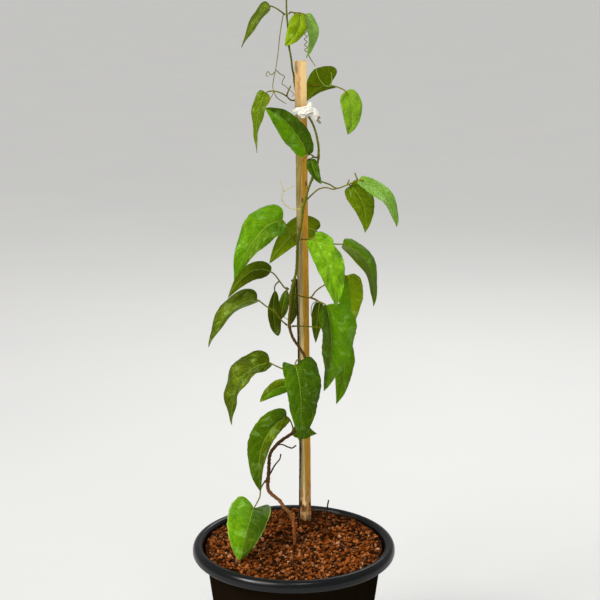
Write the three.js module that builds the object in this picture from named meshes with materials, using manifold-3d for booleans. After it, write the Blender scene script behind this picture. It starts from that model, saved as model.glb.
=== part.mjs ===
// A young flame vine in a plastic grower pot, tied to a split wooden stake.
// Millimetres, +Z up. The origin is the middle of the pot's underside, and the
// plant is seen from the front along +Y, with +X to the right.
import * as THREE from "three";
import Module from "manifold-3d";

const wasm = await Module();
wasm.setup();

// Pot: a moulded tapering cup with a rolled rim
const potHeight = 118;
const potBaseRadius = 44;
const potTopRadius = 61.5;
const potWall = 1.8;
const potFloor = 2.2;
const rimRadius = 67.2;
const rimDepth = 7.8;
const shoulderHeight = 103;
const shoulderRadius = 57.5;
const potSides = 36;
// Corners of the rolled rim, as distances in from rimRadius and down from potHeight
const rimCorners = [[2, 2.6], [1.6, 7.4], [0.4, 7.8], [0, 5.2], [0.5, 2.4], [2.2, 0.6], [4, 0]];
const drainHoleRadius = 4;
const drainHoleRing = 27;
const drainHoleCount = 6;

// Soil: fills the pot and is heaped a little towards the back
const soilLevel = 114.4;
const soilHeap = 2.6;
const soilLump = 0.7;
const soilRings = 6;
const soilSpokes = potSides;
const clearance = 0.3;
const buriedDepth = 30;
const stemHoleMargin = 0.45;

// Stake: a split square rod with one corner to the front, leaning a little to the left
const stakeSide = 5.7;
const stakeFoot = new THREE.Vector3(8.8, 42, 46);
const stakeHead = new THREE.Vector3(4.4, 42, 430.7);
const stakePoint = 12;

// Tie: a strip looped round stake and stem, knotted in front with a peak and a frayed tail
const tieCentre = [5.4, 43.6];
const tieReach = [5.3, 6.6];
const tieLevel = 398.4;
const tieTilt = 0.9;
const tieWidth = 3.8;
const tieThickness = 0.8;
const tieSides = 28;
// Radii of the folds of the tie: the knot at its ends and middle, the others at root and tip
const knotRadii = [1.3, 2.8];
const peakRadii = [1.8, 0.5];
const tailRadii = [1.5, 0.6];
const knotRoute = [[2.8, 35.8, 398.6], [7.6, 34.8, 398.9], [11.2, 34.4, 398.6], [13.8, 35.4, 396.4]];
const peakRoute = [[9.8, 34.6, 399.4], [10.6, 34.2, 401.4], [11.1, 33.8, 403.2]];
const tailRoute = [[12.4, 34.8, 397.4], [14.6, 34.2, 394.8], [16.4, 33.8, 391.8]];

// Stems
const stemSides = 6;
const petioleSides = 4;
const tendrilSides = 3;
const petioleRadius = 0.6;
const tendrilRadius = 0.48;
const coilSteps = 6;
const stubTop = 136.5;
const stubFoot = [0.6, 2];
const stubRadius = 1.3;
const backStemRadius = 0.6;
const twigRadius = 0.6;
const seatSamples = 1200;
const seatRoot = 0.9;

// Blades
const bladeThickness = 0.8;
const endHalfWidth = 0.3;
const largeBlade = 36;
const rowBunching = 0.1;
const lobeCrest = 0.1;

const colours = {
  pot: 0x15181a,
  soil: 0x6b3218,
  stake: 0xd9a56c,
  tie: 0xf2f2ee,
  bark: 0x4a3020,
  stem: 0x5b5a1e,
  leaf: 0x4d8a1c,
  twig: 0x3a2a20,
};

// Turning geometries into solids and back

/** A closed solid from positions (flat list) and triangle corners (flat list). */
function solidFrom(positions, triangles) {
  return new wasm.Manifold(new wasm.Mesh({
    numProp: 3,
    vertProperties: new Float32Array(positions),
    triVerts: new Uint32Array(triangles),
  }));
}

/** Joins a list of solids that run into each other. */
function joined(solids) {
  return solids.reduce((whole, next) => whole.add(next));
}

function geometryFrom(solid) {
  const mesh = solid.getMesh();
  const geometry = new THREE.BufferGeometry();
  geometry.setAttribute("position", new THREE.BufferAttribute(mesh.vertProperties, 3));
  geometry.setIndex(new THREE.BufferAttribute(mesh.triVerts, 1));
  geometry.computeVertexNormals();
  return geometry;
}

const points = (list) => list.map((p) => new THREE.Vector3(...p));

// Round shapes swept or turned

/** A rod of any section radius along a smooth route; radius(t) gives its size from 0 to 1. */
function rod(route, radius, sides, steps) {
  const curve = new THREE.CatmullRomCurve3(points(route), false, "centripetal");
  const frames = curve.computeFrenetFrames(steps, false);
  const positions = [];
  const triangles = [];
  for (let i = 0; i <= steps; i += 1) {
    const centre = curve.getPointAt(i / steps);
    const size = radius(i / steps);
    for (let k = 0; k < sides; k += 1) {
      const angle = (2 * Math.PI * k) / sides;
      const corner = centre.clone()
        .addScaledVector(frames.normals[i], size * Math.cos(angle))
        .addScaledVector(frames.binormals[i], size * Math.sin(angle));
      positions.push(corner.x, corner.y, corner.z);
    }
  }
  for (let i = 0; i < steps; i += 1) {
    for (let k = 0; k < sides; k += 1) {
      const a = i * sides + k;
      const b = i * sides + ((k + 1) % sides);
      triangles.push(a, b, b + sides, a, b + sides, a + sides);
    }
  }
  for (let k = 1; k < sides - 1; k += 1) {
    const last = steps * sides;
    triangles.push(0, k + 1, k, last, last + k, last + k + 1);
  }
  return solidFrom(positions, triangles);
}

const petiole = (route, radius = petioleRadius) =>
  rod(route, (t) => radius * (1.15 - 0.3 * t), petioleSides, route.length + 1);

const tendril = (route, radius = tendrilRadius) =>
  rod(route, () => radius, tendrilSides, route.length + 2);

/** A ring of stations turned about the Z axis; the section closes on itself. */
function turned(section, sides) {
  const positions = [];
  const triangles = [];
  const count = section.length;
  for (let i = 0; i < sides; i += 1) {
    const angle = (2 * Math.PI * i) / sides;
    for (const [r, z] of section) positions.push(r * Math.cos(angle), r * Math.sin(angle), z);
  }
  for (let i = 0; i < sides; i += 1) {
    const next = (i + 1) % sides;
    for (let k = 0; k < count; k += 1) {
      const up = (k + 1) % count;
      triangles.push(i * count + k, next * count + k, next * count + up);
      triangles.push(i * count + k, next * count + up, i * count + up);
    }
  }
  return solidFrom(positions, triangles);
}

/** An upright round peg, used to open holes. */
function peg(x, y, bottom, top, radius, sides) {
  return rod([[x, y, bottom], [x, y, (bottom + top) / 2], [x, y, top]], () => radius, sides, 2);
}

// Pot

function pot() {
  const lip = potHeight - rimDepth;
  const slope = (shoulderRadius - potBaseRadius) / shoulderHeight;
  const innerFloorRadius = potBaseRadius + slope * potFloor - potWall;
  const cup = turned([
    [2, 0],
    [potBaseRadius, 0],
    [shoulderRadius, shoulderHeight],
    [potTopRadius - 0.4, lip],
    [potTopRadius, potHeight - 3.4],
    ...rimCorners.map(([inward, down]) => [rimRadius - inward, potHeight - down]),
    [potTopRadius - 0.6, potHeight - 1],
    [potTopRadius - potWall + 0.2, potHeight - 3.2],
    [potTopRadius - potWall - 0.6, lip],
    [shoulderRadius - potWall, shoulderHeight],
    [innerFloorRadius, potFloor],
    [2, potFloor],
  ], potSides);
  const centre = peg(0, 0, 0, potFloor, 3, 16);
  let body = cup.add(centre);
  for (let i = 0; i < drainHoleCount; i += 1) {
    const angle = (2 * Math.PI * (i + 0.5)) / drainHoleCount;
    const x = drainHoleRing * Math.cos(angle);
    const y = drainHoleRing * Math.sin(angle);
    body = body.subtract(peg(x, y, -1, potFloor + 1, drainHoleRadius, 12));
  }
  return body;
}

// Soil

/** Height of the soil surface: level in front, heaped behind, lumpy all over. */
function soilHeight(x, y) {
  const heap = soilHeap * Math.max(0, y / 60) ** 1.5;
  const lumps = Math.sin(x * 0.31 + 1.3 * Math.sin(y * 0.17)) * Math.cos(y * 0.27 + 0.9)
    + 0.6 * Math.sin(x * 0.73 + y * 0.55);
  return soilLevel + heap + soilLump * lumps;
}

/** The pot's inside radius at a height, which the soil follows. */
function insideRadius(z) {
  const lip = potHeight - rimDepth;
  const floorRadius = potBaseRadius - potWall + 0.2;
  if (z > lip) return potTopRadius - potWall - 0.6;
  if (z > shoulderHeight) {
    const t = (z - shoulderHeight) / (lip - shoulderHeight);
    return THREE.MathUtils.lerp(shoulderRadius - potWall, potTopRadius - potWall - 0.6, t);
  }
  return THREE.MathUtils.lerp(floorRadius, shoulderRadius - potWall, z / shoulderHeight);
}

function soil() {
  const wallHeights = [potFloor + clearance, shoulderHeight, potHeight - rimDepth];
  const positions = [0, 0, wallHeights[0]];
  const triangles = [];
  const ringStart = (ring) => 1 + ring * soilSpokes;
  const pushRing = (radius, height) => {
    for (let i = 0; i < soilSpokes; i += 1) {
      const angle = (2 * Math.PI * i) / soilSpokes;
      const x = radius * Math.cos(angle);
      const y = radius * Math.sin(angle);
      positions.push(x, y, height(x, y));
    }
  };
  for (const z of wallHeights) pushRing(insideRadius(z) - clearance * 1.4, () => z);
  const edge = insideRadius(potHeight) - clearance * 1.4;
  for (let ring = soilRings; ring >= 1; ring -= 1) pushRing((edge * ring) / soilRings, soilHeight);
  const rings = wallHeights.length + soilRings;
  const top = positions.length / 3;
  positions.push(0, 0, soilHeight(0, 0));
  for (let i = 0; i < soilSpokes; i += 1) {
    const j = (i + 1) % soilSpokes;
    triangles.push(0, ringStart(0) + j, ringStart(0) + i);
    for (let ring = 0; ring < rings - 1; ring += 1) {
      const a = ringStart(ring) + i;
      const b = ringStart(ring) + j;
      triangles.push(a, b, b + soilSpokes, a, b + soilSpokes, a + soilSpokes);
    }
    triangles.push(top, ringStart(rings - 1) + i, ringStart(rings - 1) + j);
  }
  let body = solidFrom(positions, triangles);
  body = body.subtract(stakeSolid(stakeSide + 2 * clearance, 5 * clearance));
  for (const [foot, radius] of stemFeet) {
    const bottom = soilLevel - buriedDepth - clearance;
    body = body.subtract(peg(foot[0], foot[1], bottom, potHeight + 5, radius + stemHoleMargin, 10));
  }
  return body;
}

// Stake

/** The stake's solid with a given side; grown lengthens both ends, for its hole in the soil. */
function stakeSolid(side, grown = 0) {
  const axis = stakeHead.clone().sub(stakeFoot);
  const length = axis.length();
  const half = side / Math.SQRT2;
  const positions = [];
  const stations = [[-grown, 0.12], [stakePoint, 1], [length + grown, 1]];
  for (const [along, scale] of stations) {
    const centre = stakeFoot.clone().addScaledVector(axis, along / length);
    for (const [x, y] of [[half, 0], [0, half], [-half, 0], [0, -half]]) {
      positions.push(centre.x + x * scale, centre.y + y * scale, centre.z);
    }
  }
  const triangles = [0, 2, 1, 0, 3, 2, 8, 9, 10, 8, 10, 11];
  for (const ring of [0, 4]) {
    for (let k = 0; k < 4; k += 1) {
      const a = ring + k;
      const b = ring + ((k + 1) % 4);
      triangles.push(a, b, b + 4, a, b + 4, a + 4);
    }
  }
  return solidFrom(positions, triangles);
}

// Tie

function tie() {
  const positions = [];
  const triangles = [];
  for (let i = 0; i < tieSides; i += 1) {
    const angle = (2 * Math.PI * i) / tieSides;
    const level = tieLevel + tieTilt * Math.cos(angle);
    for (const [out, up] of [[0, -1], [1, -1], [1, 1], [0, 1]]) {
      positions.push(
        tieCentre[0] + (tieReach[0] + out * tieThickness) * Math.cos(angle),
        tieCentre[1] + (tieReach[1] + out * tieThickness) * Math.sin(angle),
        level + (up * tieWidth) / 2,
      );
    }
  }
  for (let i = 0; i < tieSides; i += 1) {
    const next = ((i + 1) % tieSides) * 4;
    for (let k = 0; k < 4; k += 1) {
      const up = (k + 1) % 4;
      triangles.push(i * 4 + k, next + k, next + up, i * 4 + k, next + up, i * 4 + up);
    }
  }
  const band = solidFrom(positions, triangles);
  const knot = rod(knotRoute, (t) => THREE.MathUtils.lerp(...knotRadii, Math.sin(Math.PI * t)), 8, 7);
  const peak = rod(peakRoute, (t) => THREE.MathUtils.lerp(...peakRadii, t), 5, 4);
  const tail = rod(tailRoute, (t) => THREE.MathUtils.lerp(...tailRadii, t), 5, 5);
  return joined([band, knot, peak, tail]);
}

// Stems

// From the stub in the soil, in a bend to the left, then up the stake, behind it at the tie, and
// past its head
const mainStemRoute = [
  [-0.6, 2.6, 131], [-2.4, 3, 135.7], [-5.9, 3.5, 139.1], [-9.8, 5, 144.5], [-14, 6, 147.6],
  [-16.8, 7, 150.7], [-17.4, 8, 155.3], [-16.9, 9, 159.9], [-16.5, 11, 166.8], [-15.9, 14, 172.8],
  [-12.6, 17, 177.7], [-6.3, 20, 182.3], [0.8, 23, 186.8], [4.1, 24, 197.4], [5.4, 25, 211.1],
  [6.4, 27, 224.4], [7.4, 30, 235.3], [3.2, 32, 242.7], [-0.8, 31, 249.3], [-2.7, 30.5, 255.8],
  [-3.1, 30.5, 261.5], [-2.3, 30.5, 270.3], [-1.8, 30.5, 279.6], [0.3, 31, 288.3], [1.6, 33, 293.2],
  [2.3, 34.5, 307], [2.5, 35, 311.9], [3.2, 35, 316.1], [5.3, 34.5, 327.3], [6.1, 34, 335.8],
  [7.4, 34, 340.4], [9.6, 34, 348.6], [11.6, 34, 354], [13.5, 34.5, 358.7], [15, 35, 362.3],
  [16, 35.5, 368.7], [16.1, 35.5, 375.2], [15.3, 36.4, 380.4], [14, 38.4, 385.6], [11.8, 43, 390.8],
  [8, 47.6, 396.1], [4.1, 48.8, 401.9], [1.8, 48.4, 407.7], [0.8, 47.4, 413.7], [0.3, 45.8, 419],
  [-0.2, 43.6, 422.2], [-0.8, 41.4, 424.8], [-1.1, 39.8, 427.6], [-1.7, 38, 432.9], [-3, 38, 439.8],
  [-3.5, 38, 449.5], [-4.3, 38, 459], [-4.5, 38, 468.6], [-3.8, 38, 476], [-1.9, 38, 483.5],
];
const mainStemCurve = new THREE.CatmullRomCurve3(points(mainStemRoute), false, "centripetal");
const bareTwigRoute = [[-16.9, 9, 159.9], [-15.4, 9, 162.2], [-12.5, 8, 167.9], [-9.3, 8, 172.1],
  [-8.5, 9, 175.5]];
const lowTendrilRoute = [
  [-13, 16.7, 177.2], [-9.9, 16, 179.3], [-7.4, 15, 179.7], [-3.9, 14, 178.4], [-1.2, 14, 177.7],
  [1.8, 15, 179.3],
];

/** Stem radius against height: woody at the foot, thin and green above. */
function stemRadius(z) {
  const heights = [120, 190, 250, 330, 420, 484];
  const radii = [1.25, 1.1, 0.95, 0.8, 0.65, 0.45];
  let i = 0;
  while (i < heights.length - 2 && z > heights[i + 1]) i += 1;
  const t = THREE.MathUtils.clamp((z - heights[i]) / (heights[i + 1] - heights[i]), 0, 1);
  return THREE.MathUtils.lerp(radii[i], radii[i + 1], t);
}

function mainStem() {
  const stem = rod(mainStemRoute, (t) => stemRadius(mainStemCurve.getPointAt(t).z), stemSides, 84);
  const [x, y] = stubFoot;
  const foot = soilLevel - buriedDepth;
  const stub = rod([[x, y, foot], [x, y, 112], [0.2, 2.2, 124.4], [-0.4, 2.7, 131], [-0.1, 3, stubTop]],
    (t) => stubRadius * (1.05 - 0.25 * t), stemSides, 9);
  return joined([
    stem,
    stub,
    rod(bareTwigRoute, (t) => 0.6 - 0.15 * t, petioleSides, 8),
    tendril(lowTendrilRoute),
  ]);
}

const backStemRoute = [
  [3.9, 39.4, soilLevel - buriedDepth], [3.9, 39.4, 112], [3.9, 39.4, 127], [4.1, 39.5, 152.7],
  [4.2, 39.5, 174],
  [3.8, 39.6, 202.6], [3.2, 39.8, 230.6], [2.6, 40.2, 258.5], [2, 40.2, 279.2], [1.8, 38.8, 287.6],
];

const twigRoute = [[22, 45, 92], [22, 45, 112], [22.4, 45, 119], [23.1, 45, 124], [24, 45.4, 129]];

// Where stems stand in plain round holes in the soil: foot and radius
const stemFeet = [
  [stubFoot, stubRadius],
  [backStemRoute[0], backStemRadius],
  [twigRoute[0], twigRadius],
];

// Leaves

/** Half-width of a blade from base (0) to tip (1), as a share of its widest; taper sharpens the tip. */
function bladeShape(t, spread, taper) {
  const shape = (s) => s ** spread * (1 - s) ** taper;
  return shape(t) / shape(spread / (spread + taper));
}

/**
 * A leaflet's blade. Its midrib runs base, mid, tip; left and right are the half-widths seen from the
 * front; roll turns the blade about its midrib at base and tip, fold lifts both halves towards the
 * face, droop bends the edges back, wave ruffles them, and lobe (lobeRight, where the right half
 * differs) carries the base past the stalk.
 */
function blade({
  base, mid, tip, left, right, roll = [0, 0], fold = 12, droop = 0.2,
  wave = 0.8, waves = 2, phase = 0, lobe = 0.05, lobeRight = lobe, spread = 0.42, taper = 1,
}) {
  const [start, through, end] = points([base, mid, tip]);
  const control = through.clone().multiplyScalar(2).addScaledVector(start, -0.5).addScaledVector(end,
  -0.5);
  const midrib = new THREE.QuadraticBezierCurve3(start, control, end);
  const length = start.distanceTo(through) + through.distanceTo(end);
  const large = length > largeBlade;
  const rows = large ? 9 : 7;
  const half = large ? 3 : 2;
  const columns = 2 * half + 1;
  const widest = Math.max(left, right);
  const front = new THREE.Vector3(0, -1, 0);
  const faces = [[], []];
  for (let i = 0; i <= rows; i += 1) {
    const t = i / rows - rowBunching * Math.sin((2 * Math.PI * i) / rows);
    const centre = midrib.getPoint(t);
    const along = midrib.getTangent(t);
    const face = front.clone().addScaledVector(along, -front.dot(along)).normalize();
    face.applyAxisAngle(along, -THREE.MathUtils.degToRad(THREE.MathUtils.lerp(roll[0], roll[1], t)));
    const side = face.clone().cross(along);
    for (let j = -half; j <= half; j += 1) {
      const v = Math.abs(j) / half;
      const hand = j > 0 ? 1 : -1;
      const rowWidth = Math.max(endHalfWidth, (j > 0 ? right : left) * bladeShape(t, spread, taper));
      const out = rowWidth * v;
      const lift = THREE.MathUtils.degToRad(fold) * (1 - 0.5 * t);
      const ruffle = wave * Math.sin(2 * Math.PI * waves * t + phase + (j > 0 ? 1.7 : 0))
        * v * v * Math.min(1, rowWidth / (0.35 * widest));
      const rise = out * Math.sin(lift) - (droop * out * out) / widest + ruffle;
      const reach = (j > 0 ? lobeRight : lobe) * length;
      const back = reach * v ** 1.3 * Math.sqrt(t / lobeCrest) * Math.exp((1 - t / lobeCrest) / 2);
      const top = centre.clone()
        .addScaledVector(side, hand * out * Math.cos(lift))
        .addScaledVector(face, rise)
        .addScaledVector(along, -back);
      faces[0].push(top.clone().addScaledVector(face, bladeThickness / 2));
      faces[1].push(top.clone().addScaledVector(face, -bladeThickness / 2));
    }
  }
  return bladeSolid(faces, rows, columns);
}

/** Closes two like grids of points into a thin solid, both split into triangles the same way. */
function bladeSolid(faces, rows, columns) {
  const positions = faces.flat().flatMap((p) => [p.x, p.y, p.z]);
  const under = (rows + 1) * columns;
  const triangles = [];
  for (let i = 0; i < rows; i += 1) {
    for (let j = 0; j < columns - 1; j += 1) {
      const a = i * columns + j;
      const b = a + 1;
      const c = a + columns;
      const d = c + 1;
      triangles.push(a, b, d, a, d, c);
      triangles.push(under + a, under + d, under + b, under + a, under + c, under + d);
    }
  }
  const rim = [];
  for (let j = 0; j < columns - 1; j += 1) rim.push(j);
  for (let i = 0; i < rows; i += 1) rim.push(i * columns + columns - 1);
  for (let j = columns - 1; j > 0; j -= 1) rim.push(rows * columns + j);
  for (let i = rows; i > 0; i -= 1) rim.push(i * columns);
  for (let k = 0; k < rim.length; k += 1) {
    const a = rim[k];
    const b = rim[(k + 1) % rim.length];
    triangles.push(a, under + a, under + b, a, under + b, b);
  }
  const solid = solidFrom(positions, triangles);
  return solid.volume() > 0 ? solid : solidFrom(positions, flipped(triangles));
}

function flipped(triangles) {
  const turnedOver = [];
  for (let k = 0; k < triangles.length; k += 3) {
    turnedOver.push(triangles[k], triangles[k + 2], triangles[k + 1]);
  }
  return turnedOver;
}

/** A helical tendril about a straight axis. */
function coil(from, to, radius, turns) {
  const start = new THREE.Vector3(...from);
  const axis = new THREE.Vector3(...to).sub(start);
  const steps = turns * coilSteps;
  const route = [];
  for (let i = 0; i <= steps; i += 1) {
    const angle = (2 * Math.PI * turns * i) / steps;
    const p = start.clone().addScaledVector(axis, i / steps);
    route.push([p.x + radius * Math.cos(angle), p.y + radius * Math.sin(angle), p.z]);
  }
  return rod(route, () => tendrilRadius, tendrilSides, steps);
}

/** A route whose first point is moved to the main stem's side,
square to the stem and just clear of it. */
function seated([first, ...rest]) {
  const start = new THREE.Vector3(...first);
  let nearest = mainStemCurve.getPointAt(0);
  for (let i = 1; i <= seatSamples; i += 1) {
    const p = mainStemCurve.getPointAt(i / seatSamples);
    if (p.distanceTo(start) < nearest.distanceTo(start)) nearest = p;
  }
  const outward = start.sub(nearest).normalize();
  const seat = nearest.clone().addScaledVector(outward, stemRadius(nearest.z) + 1.1 * clearance);
  const root = seat.clone().addScaledVector(outward, seatRoot);
  return [seat.toArray(), root.toArray(), ...rest];
}

/**
 * One compound leaf in one solid: stalks and climbers leave the main stem, branches leave a stalk,
 * and blades and tendrils grow from them.
 */
function compoundLeaf({ stalks = [], branches = [], blades = [], climbers = [], tendrils = [],
coils = [] }) {
  return joined([
    ...stalks.map((route) => petiole(seated(route))),
    ...branches.map((route) => petiole(route)),
    ...climbers.map((route) => tendril(seated(route))),
    ...blades.map((shape) => blade(shape)),
    ...tendrils.map((route) => tendril(route)),
    ...coils.map((c) => coil(...c)),
  ]);
}

// Leaves from the lowest to the growing tip; right and left are the sides they leave the stem on
const leaves = {
  leaf_lowest: {
    stalks: [[[-18.6, 8, 157.4], [-21.8, 6, 152.5], [-22.4, 1.5, 148.4], [-24.4, -1.6, 144.8],
      [-27, -4.6, 141.4]]],
    blades: [{
      base: [-26.6, -3.6, 142.2], mid: [-29.9, -19, 134.9], tip: [-34.9, -34, 118.4],
      left: 15, right: 12, roll: [-5, -5], fold: 10, wave: 1, waves: 2.5, phase: 1, lobe: 0.14,
      lobeRight: 0.34, spread: 0.34, taper: 0.68,
    }],
  },
  leaf_folded: {
    stalks: [[[-0.4, 20.8, 188.8], [-1.5, 17, 193.8], [-2.8, 14, 197.6], [-4.7, 12, 200.1],
      [-7, 10.6, 200]]],
    blades: [{
      base: [-4.7, 12, 200.1], mid: [-20.5, 3, 183.6], tip: [-21.9, 1, 151.8],
      left: 11.3, right: 6.5, roll: [-12, -12], fold: 30, wave: 1, waves: 2.5, taper: 0.85,
    }],
  },
  leaf_small_behind: {
    stalks: [[[1.8, 24.9, 187.6], [1.6, 27, 187.2], [0.4, 30, 187], [2.6, 29.8, 185.8]]],
    blades: [{
      base: [0.4, 30, 187], mid: [6.8, 28.4, 184.1], tip: [15.6, 31, 182],
      left: 6, right: 6, fold: 12, wave: 0.8,
    }],
  },
  leaf_low_left: {
    stalks: [
      [[4.4, 26, 226.6], [-0.5, 25, 227.7], [-7.4, 24, 229.6], [-11.8, 24, 231.5], [-16.1, 24, 233.7],
        [-19, 22.6, 234.2]],
    ],
    branches: [
      [[-0.5, 25, 227.7], [-0.9, 23, 223.5], [-2.5, 20, 218.9], [-5, 18.8, 219.2]],
    ],
    blades: [
      {
        base: [-16.1, 24, 233.7], mid: [-35.3, 14, 224.1], tip: [-41, 10, 195.1],
        left: 12.3, right: 7, roll: [-45, -45], fold: 20, wave: 1.3, waves: 3, taper: 0.85, lobe: 0.04,
      },
      {
        base: [-2.5, 20, 218.9], mid: [-12.1, 16, 218], tip: [-22.3, 14, 209.7],
        left: 5.2, right: 5, roll: [-10, -10], wave: 0.6, taper: 0.75,
      },
    ],
  },
  leaf_large_front: {
    stalks: [[[6.2, 25.6, 231.4], [5.4, 21, 235], [3.4, 14, 238.8], [1.8, 8, 239.5], [0.9, 4, 237.8],
      [1.6, 2, 234]]],
    blades: [{
      base: [0.9, 4, 237.8], mid: [4.6, -6, 218.7], tip: [3.8, -8, 189.2],
      left: 10.6, right: 15.6, roll: [25, 15], wave: 1.3, waves: 2.5, lobe: 0.1, lobeRight: 0.12,
      spread: 0.32, taper: 0.85,
    }],
  },
  leaf_arched_left: {
    stalks: [[[-4.2, 29.8, 257.6], [-8.5, 29, 261.8], [-12.4, 28, 267.3], [-18.4, 27, 271.7],
      [-24.1, 26, 276.2],
      [-27, 24.6, 277]]],
    blades: [{
      base: [-24.1, 26, 276.2], mid: [-41.5, 18, 269.6], tip: [-55.8, 14, 247.3],
      left: 10.3, right: 7, roll: [-58, -58], fold: 30, droop: 0.15, wave: 0.7, taper: 0.85, lobe: 0.05,
    }],
  },
  leaf_tall_right: {
    stalks: [[[-1.5, 31.8, 256.6], [3.8, 35, 256], [9.4, 35.6, 255.5], [14.4, 34.6, 255.3],
      [22.1, 35.4, 254],
      [30.2, 38, 251.8], [30.9, 37.7, 249]]],
    blades: [{
      base: [30.2, 38, 251.8], mid: [34, 36, 226.6], tip: [28.4, 32, 202.4],
      left: 8, right: 7, roll: [10, 10], phase: 1, taper: 0.9,
    }],
  },
  leaf_three_left: {
    stalks: [
      [[-2.9, 30.2, 282.2], [-5.8, 29, 283.4], [-8.4, 29, 286.7], [-10.8, 29, 290.1], [-13, 30, 292.6],
        [-15.3, 30, 294.1], [-18, 29, 295]],
    ],
    branches: [
      [[-9.3, 29, 288], [-11.8, 33, 285], [-12.8, 38, 281], [-12.6, 40, 277]],
      [[-5.1, 29, 283.2], [-4.4, 38, 281.4], [-4.6, 44, 278.5], [-5, 44.4, 276]],
    ],
    blades: [
      {
        base: [-15.3, 30, 294.1], mid: [-28.8, 24, 294.9], tip: [-42.9, 20, 278.7],
        left: 6.5, right: 5.4, roll: [170, 165], wave: 0.7, taper: 0.85, lobe: 0.03,
      },
      {
        base: [-12.5, 40, 278.8], mid: [-13.6, 38, 262.8], tip: [-10.4, 38, 248.4],
        left: 4, right: 5.5, roll: [20, 20], wave: 0.5, lobe: 0.02, spread: 0.7, taper: 0.65,
      },
      {
        base: [-4.6, 44, 278.5], mid: [-7.3, 46, 267.7], tip: [-9.4, 46, 257.3],
        left: 3.5, right: 4.2, roll: [-20, -20], wave: 0.5, lobe: 0.02, spread: 0.7, taper: 0.7,
      },
    ],
    tendrils: [[[-4.9, 44.2, 277.2], [-2.8, 42.6, 270], [-6.4, 42, 266], [-7.3, 42, 261.4],
      [-4, 42.2, 258.4]]],
  },
  leaf_behind_stake: {
    stalks: [[[-1.2, 32.4, 287.4], [-1, 38, 286.6], [-0.2, 44, 285.6], [1.6, 48, 283.8],
      [1.2, 48.8, 280.6]]],
    blades: [{
      base: [1.6, 48.4, 283.8], mid: [0.2, 50, 268.8], tip: [-2.5, 49, 253.1],
      left: 3, right: 4, roll: [-10, -10], wave: 0.5, lobe: 0.02, spread: 0.7, taper: 0.7,
    }],
  },
  leaf_three_right: {
    stalks: [
      [[-0.6, 31.6, 279.2], [4.2, 35, 276.5], [10.9, 35.5, 275.4], [14.7, 38, 279.2], [18.7, 39, 282.1],
        [22.4, 40, 283.7], [28.8, 43, 286.3], [34.8, 46, 287.7], [35.4, 46.2, 284]],
    ],
    branches: [
      [[10.9, 35.5, 275.4], [16, 32, 273.8], [21, 26, 272.4], [22, 25, 269]],
      [[10.9, 35.5, 275.4], [14.7, 37, 273.7], [17.2, 38, 271], [17, 38.6, 267.6]],
    ],
    blades: [
      {
        base: [34.8, 46, 287.7], mid: [38.3, 46, 271.8], tip: [37.7, 42, 250],
        left: 10, right: 9, fold: 10, lobe: 0.035,
      },
      {
        base: [21, 26, 272.4], mid: [24.8, 18, 247.5], tip: [19.9, 16, 216.6],
        left: 10, right: 19.5, roll: [38, 32], fold: 20, droop: 0.15, wave: 1.3, waves: 2.5, phase: 2,
        lobe: 0.015, taper: 0.95,
      },
      {
        base: [17.2, 38, 271], mid: [15.9, 40, 258.8], tip: [14.6, 40, 243.1],
        left: 3.5, right: 4.5, roll: [180, 170], fold: 15, wave: 0.6, taper: 0.8, lobe: 0.02,
      },
    ],
    tendrils: [[[16.8, 37.8, 272.9], [12.4, 36.4, 270.6], [11.6, 36, 263.5], [13.2, 36.6, 258.6]]],
  },
  leaf_bright_left: {
    stalks: [[[1.1, 33.6, 313.4], [-0.7, 31, 316.8], [-3.7, 28, 323], [-7.2, 26, 328.9],
      [-10.4, 24.6, 328.6]]],
    blades: [{
      base: [-7.2, 26, 328.9], mid: [-23.8, 18, 320.1], tip: [-38.5, 12, 291.9],
      left: 14.2, right: 11, roll: [-35, -20], fold: 15, wave: 1.3, waves: 2.5, phase: 1, lobe: 0.05,
    }],
  },
  leaf_three_middle: {
    stalks: [
      [[4.2, 33.8, 315], [7, 33.8, 315], [10.7, 33, 315.4], [13.2, 26, 316.7], [14.6, 24, 313.4]],
    ],
    branches: [
      [[10.7, 33, 315.4], [15.9, 33, 315], [21.2, 35, 313.3], [27.1, 36, 311.4], [32.4, 36, 311.2],
        [35.2, 36, 309.9]],
      [[10.7, 33, 315.4], [13, 39, 315.2], [15.4, 47, 315.7], [14.8, 54, 316.7], [12, 55.2, 316.2]],
    ],
    blades: [
      {
        base: [13.2, 26, 316.7], mid: [22.8, 14, 300.1], tip: [27.3, 8, 276.3],
        left: 8, right: 11.2, roll: [5, 5], droop: 0.25, wave: 2.1, waves: 3.5, taper: 0.8, lobe: 0.07,
      },
      {
        base: [32.4, 36, 311.2], mid: [48.9, 34, 297.7], tip: [52.8, 30, 270.7],
        left: 8, right: 8, roll: [50, 50], fold: 15, wave: 0.7, taper: 0.85, lobe: 0.04,
      },
      {
        base: [14.8, 54, 316.7], mid: [1.4, 58, 314.9], tip: [-16.4, 56, 294.1],
        left: 8.5, right: 9.5, roll: [190, 170], fold: 10, taper: 0.8,
      },
    ],
  },
  leaf_pair_right: {
    stalks: [
      [[13.6, 33.2, 355.6], [18, 32, 353.5], [23.4, 32, 351.5], [27.9, 32, 349.1], [33.9, 32, 351],
        [38.8, 31, 353.2], [42.3, 30, 354.8], [45.4, 28, 354.8]],
      [[8.4, 33.2, 341.4], [11.6, 32, 344.7], [16.4, 32, 348.6], [21, 32, 349.5], [26, 32, 348.4],
        [28.6, 32, 349.3]],
    ],
    branches: [
      [[35.6, 31.6, 351.7], [36.9, 34, 350.3], [38.2, 33.8, 347.8]],
      [[34.6, 32, 350.9], [36.1, 32, 355]],
      [[41.6, 30.4, 354], [39.5, 32, 359.5]],
    ],
    blades: [
      {
        base: [36.9, 34, 350.3], mid: [45.3, 30, 337.8], tip: [46.4, 28, 320.3],
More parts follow.
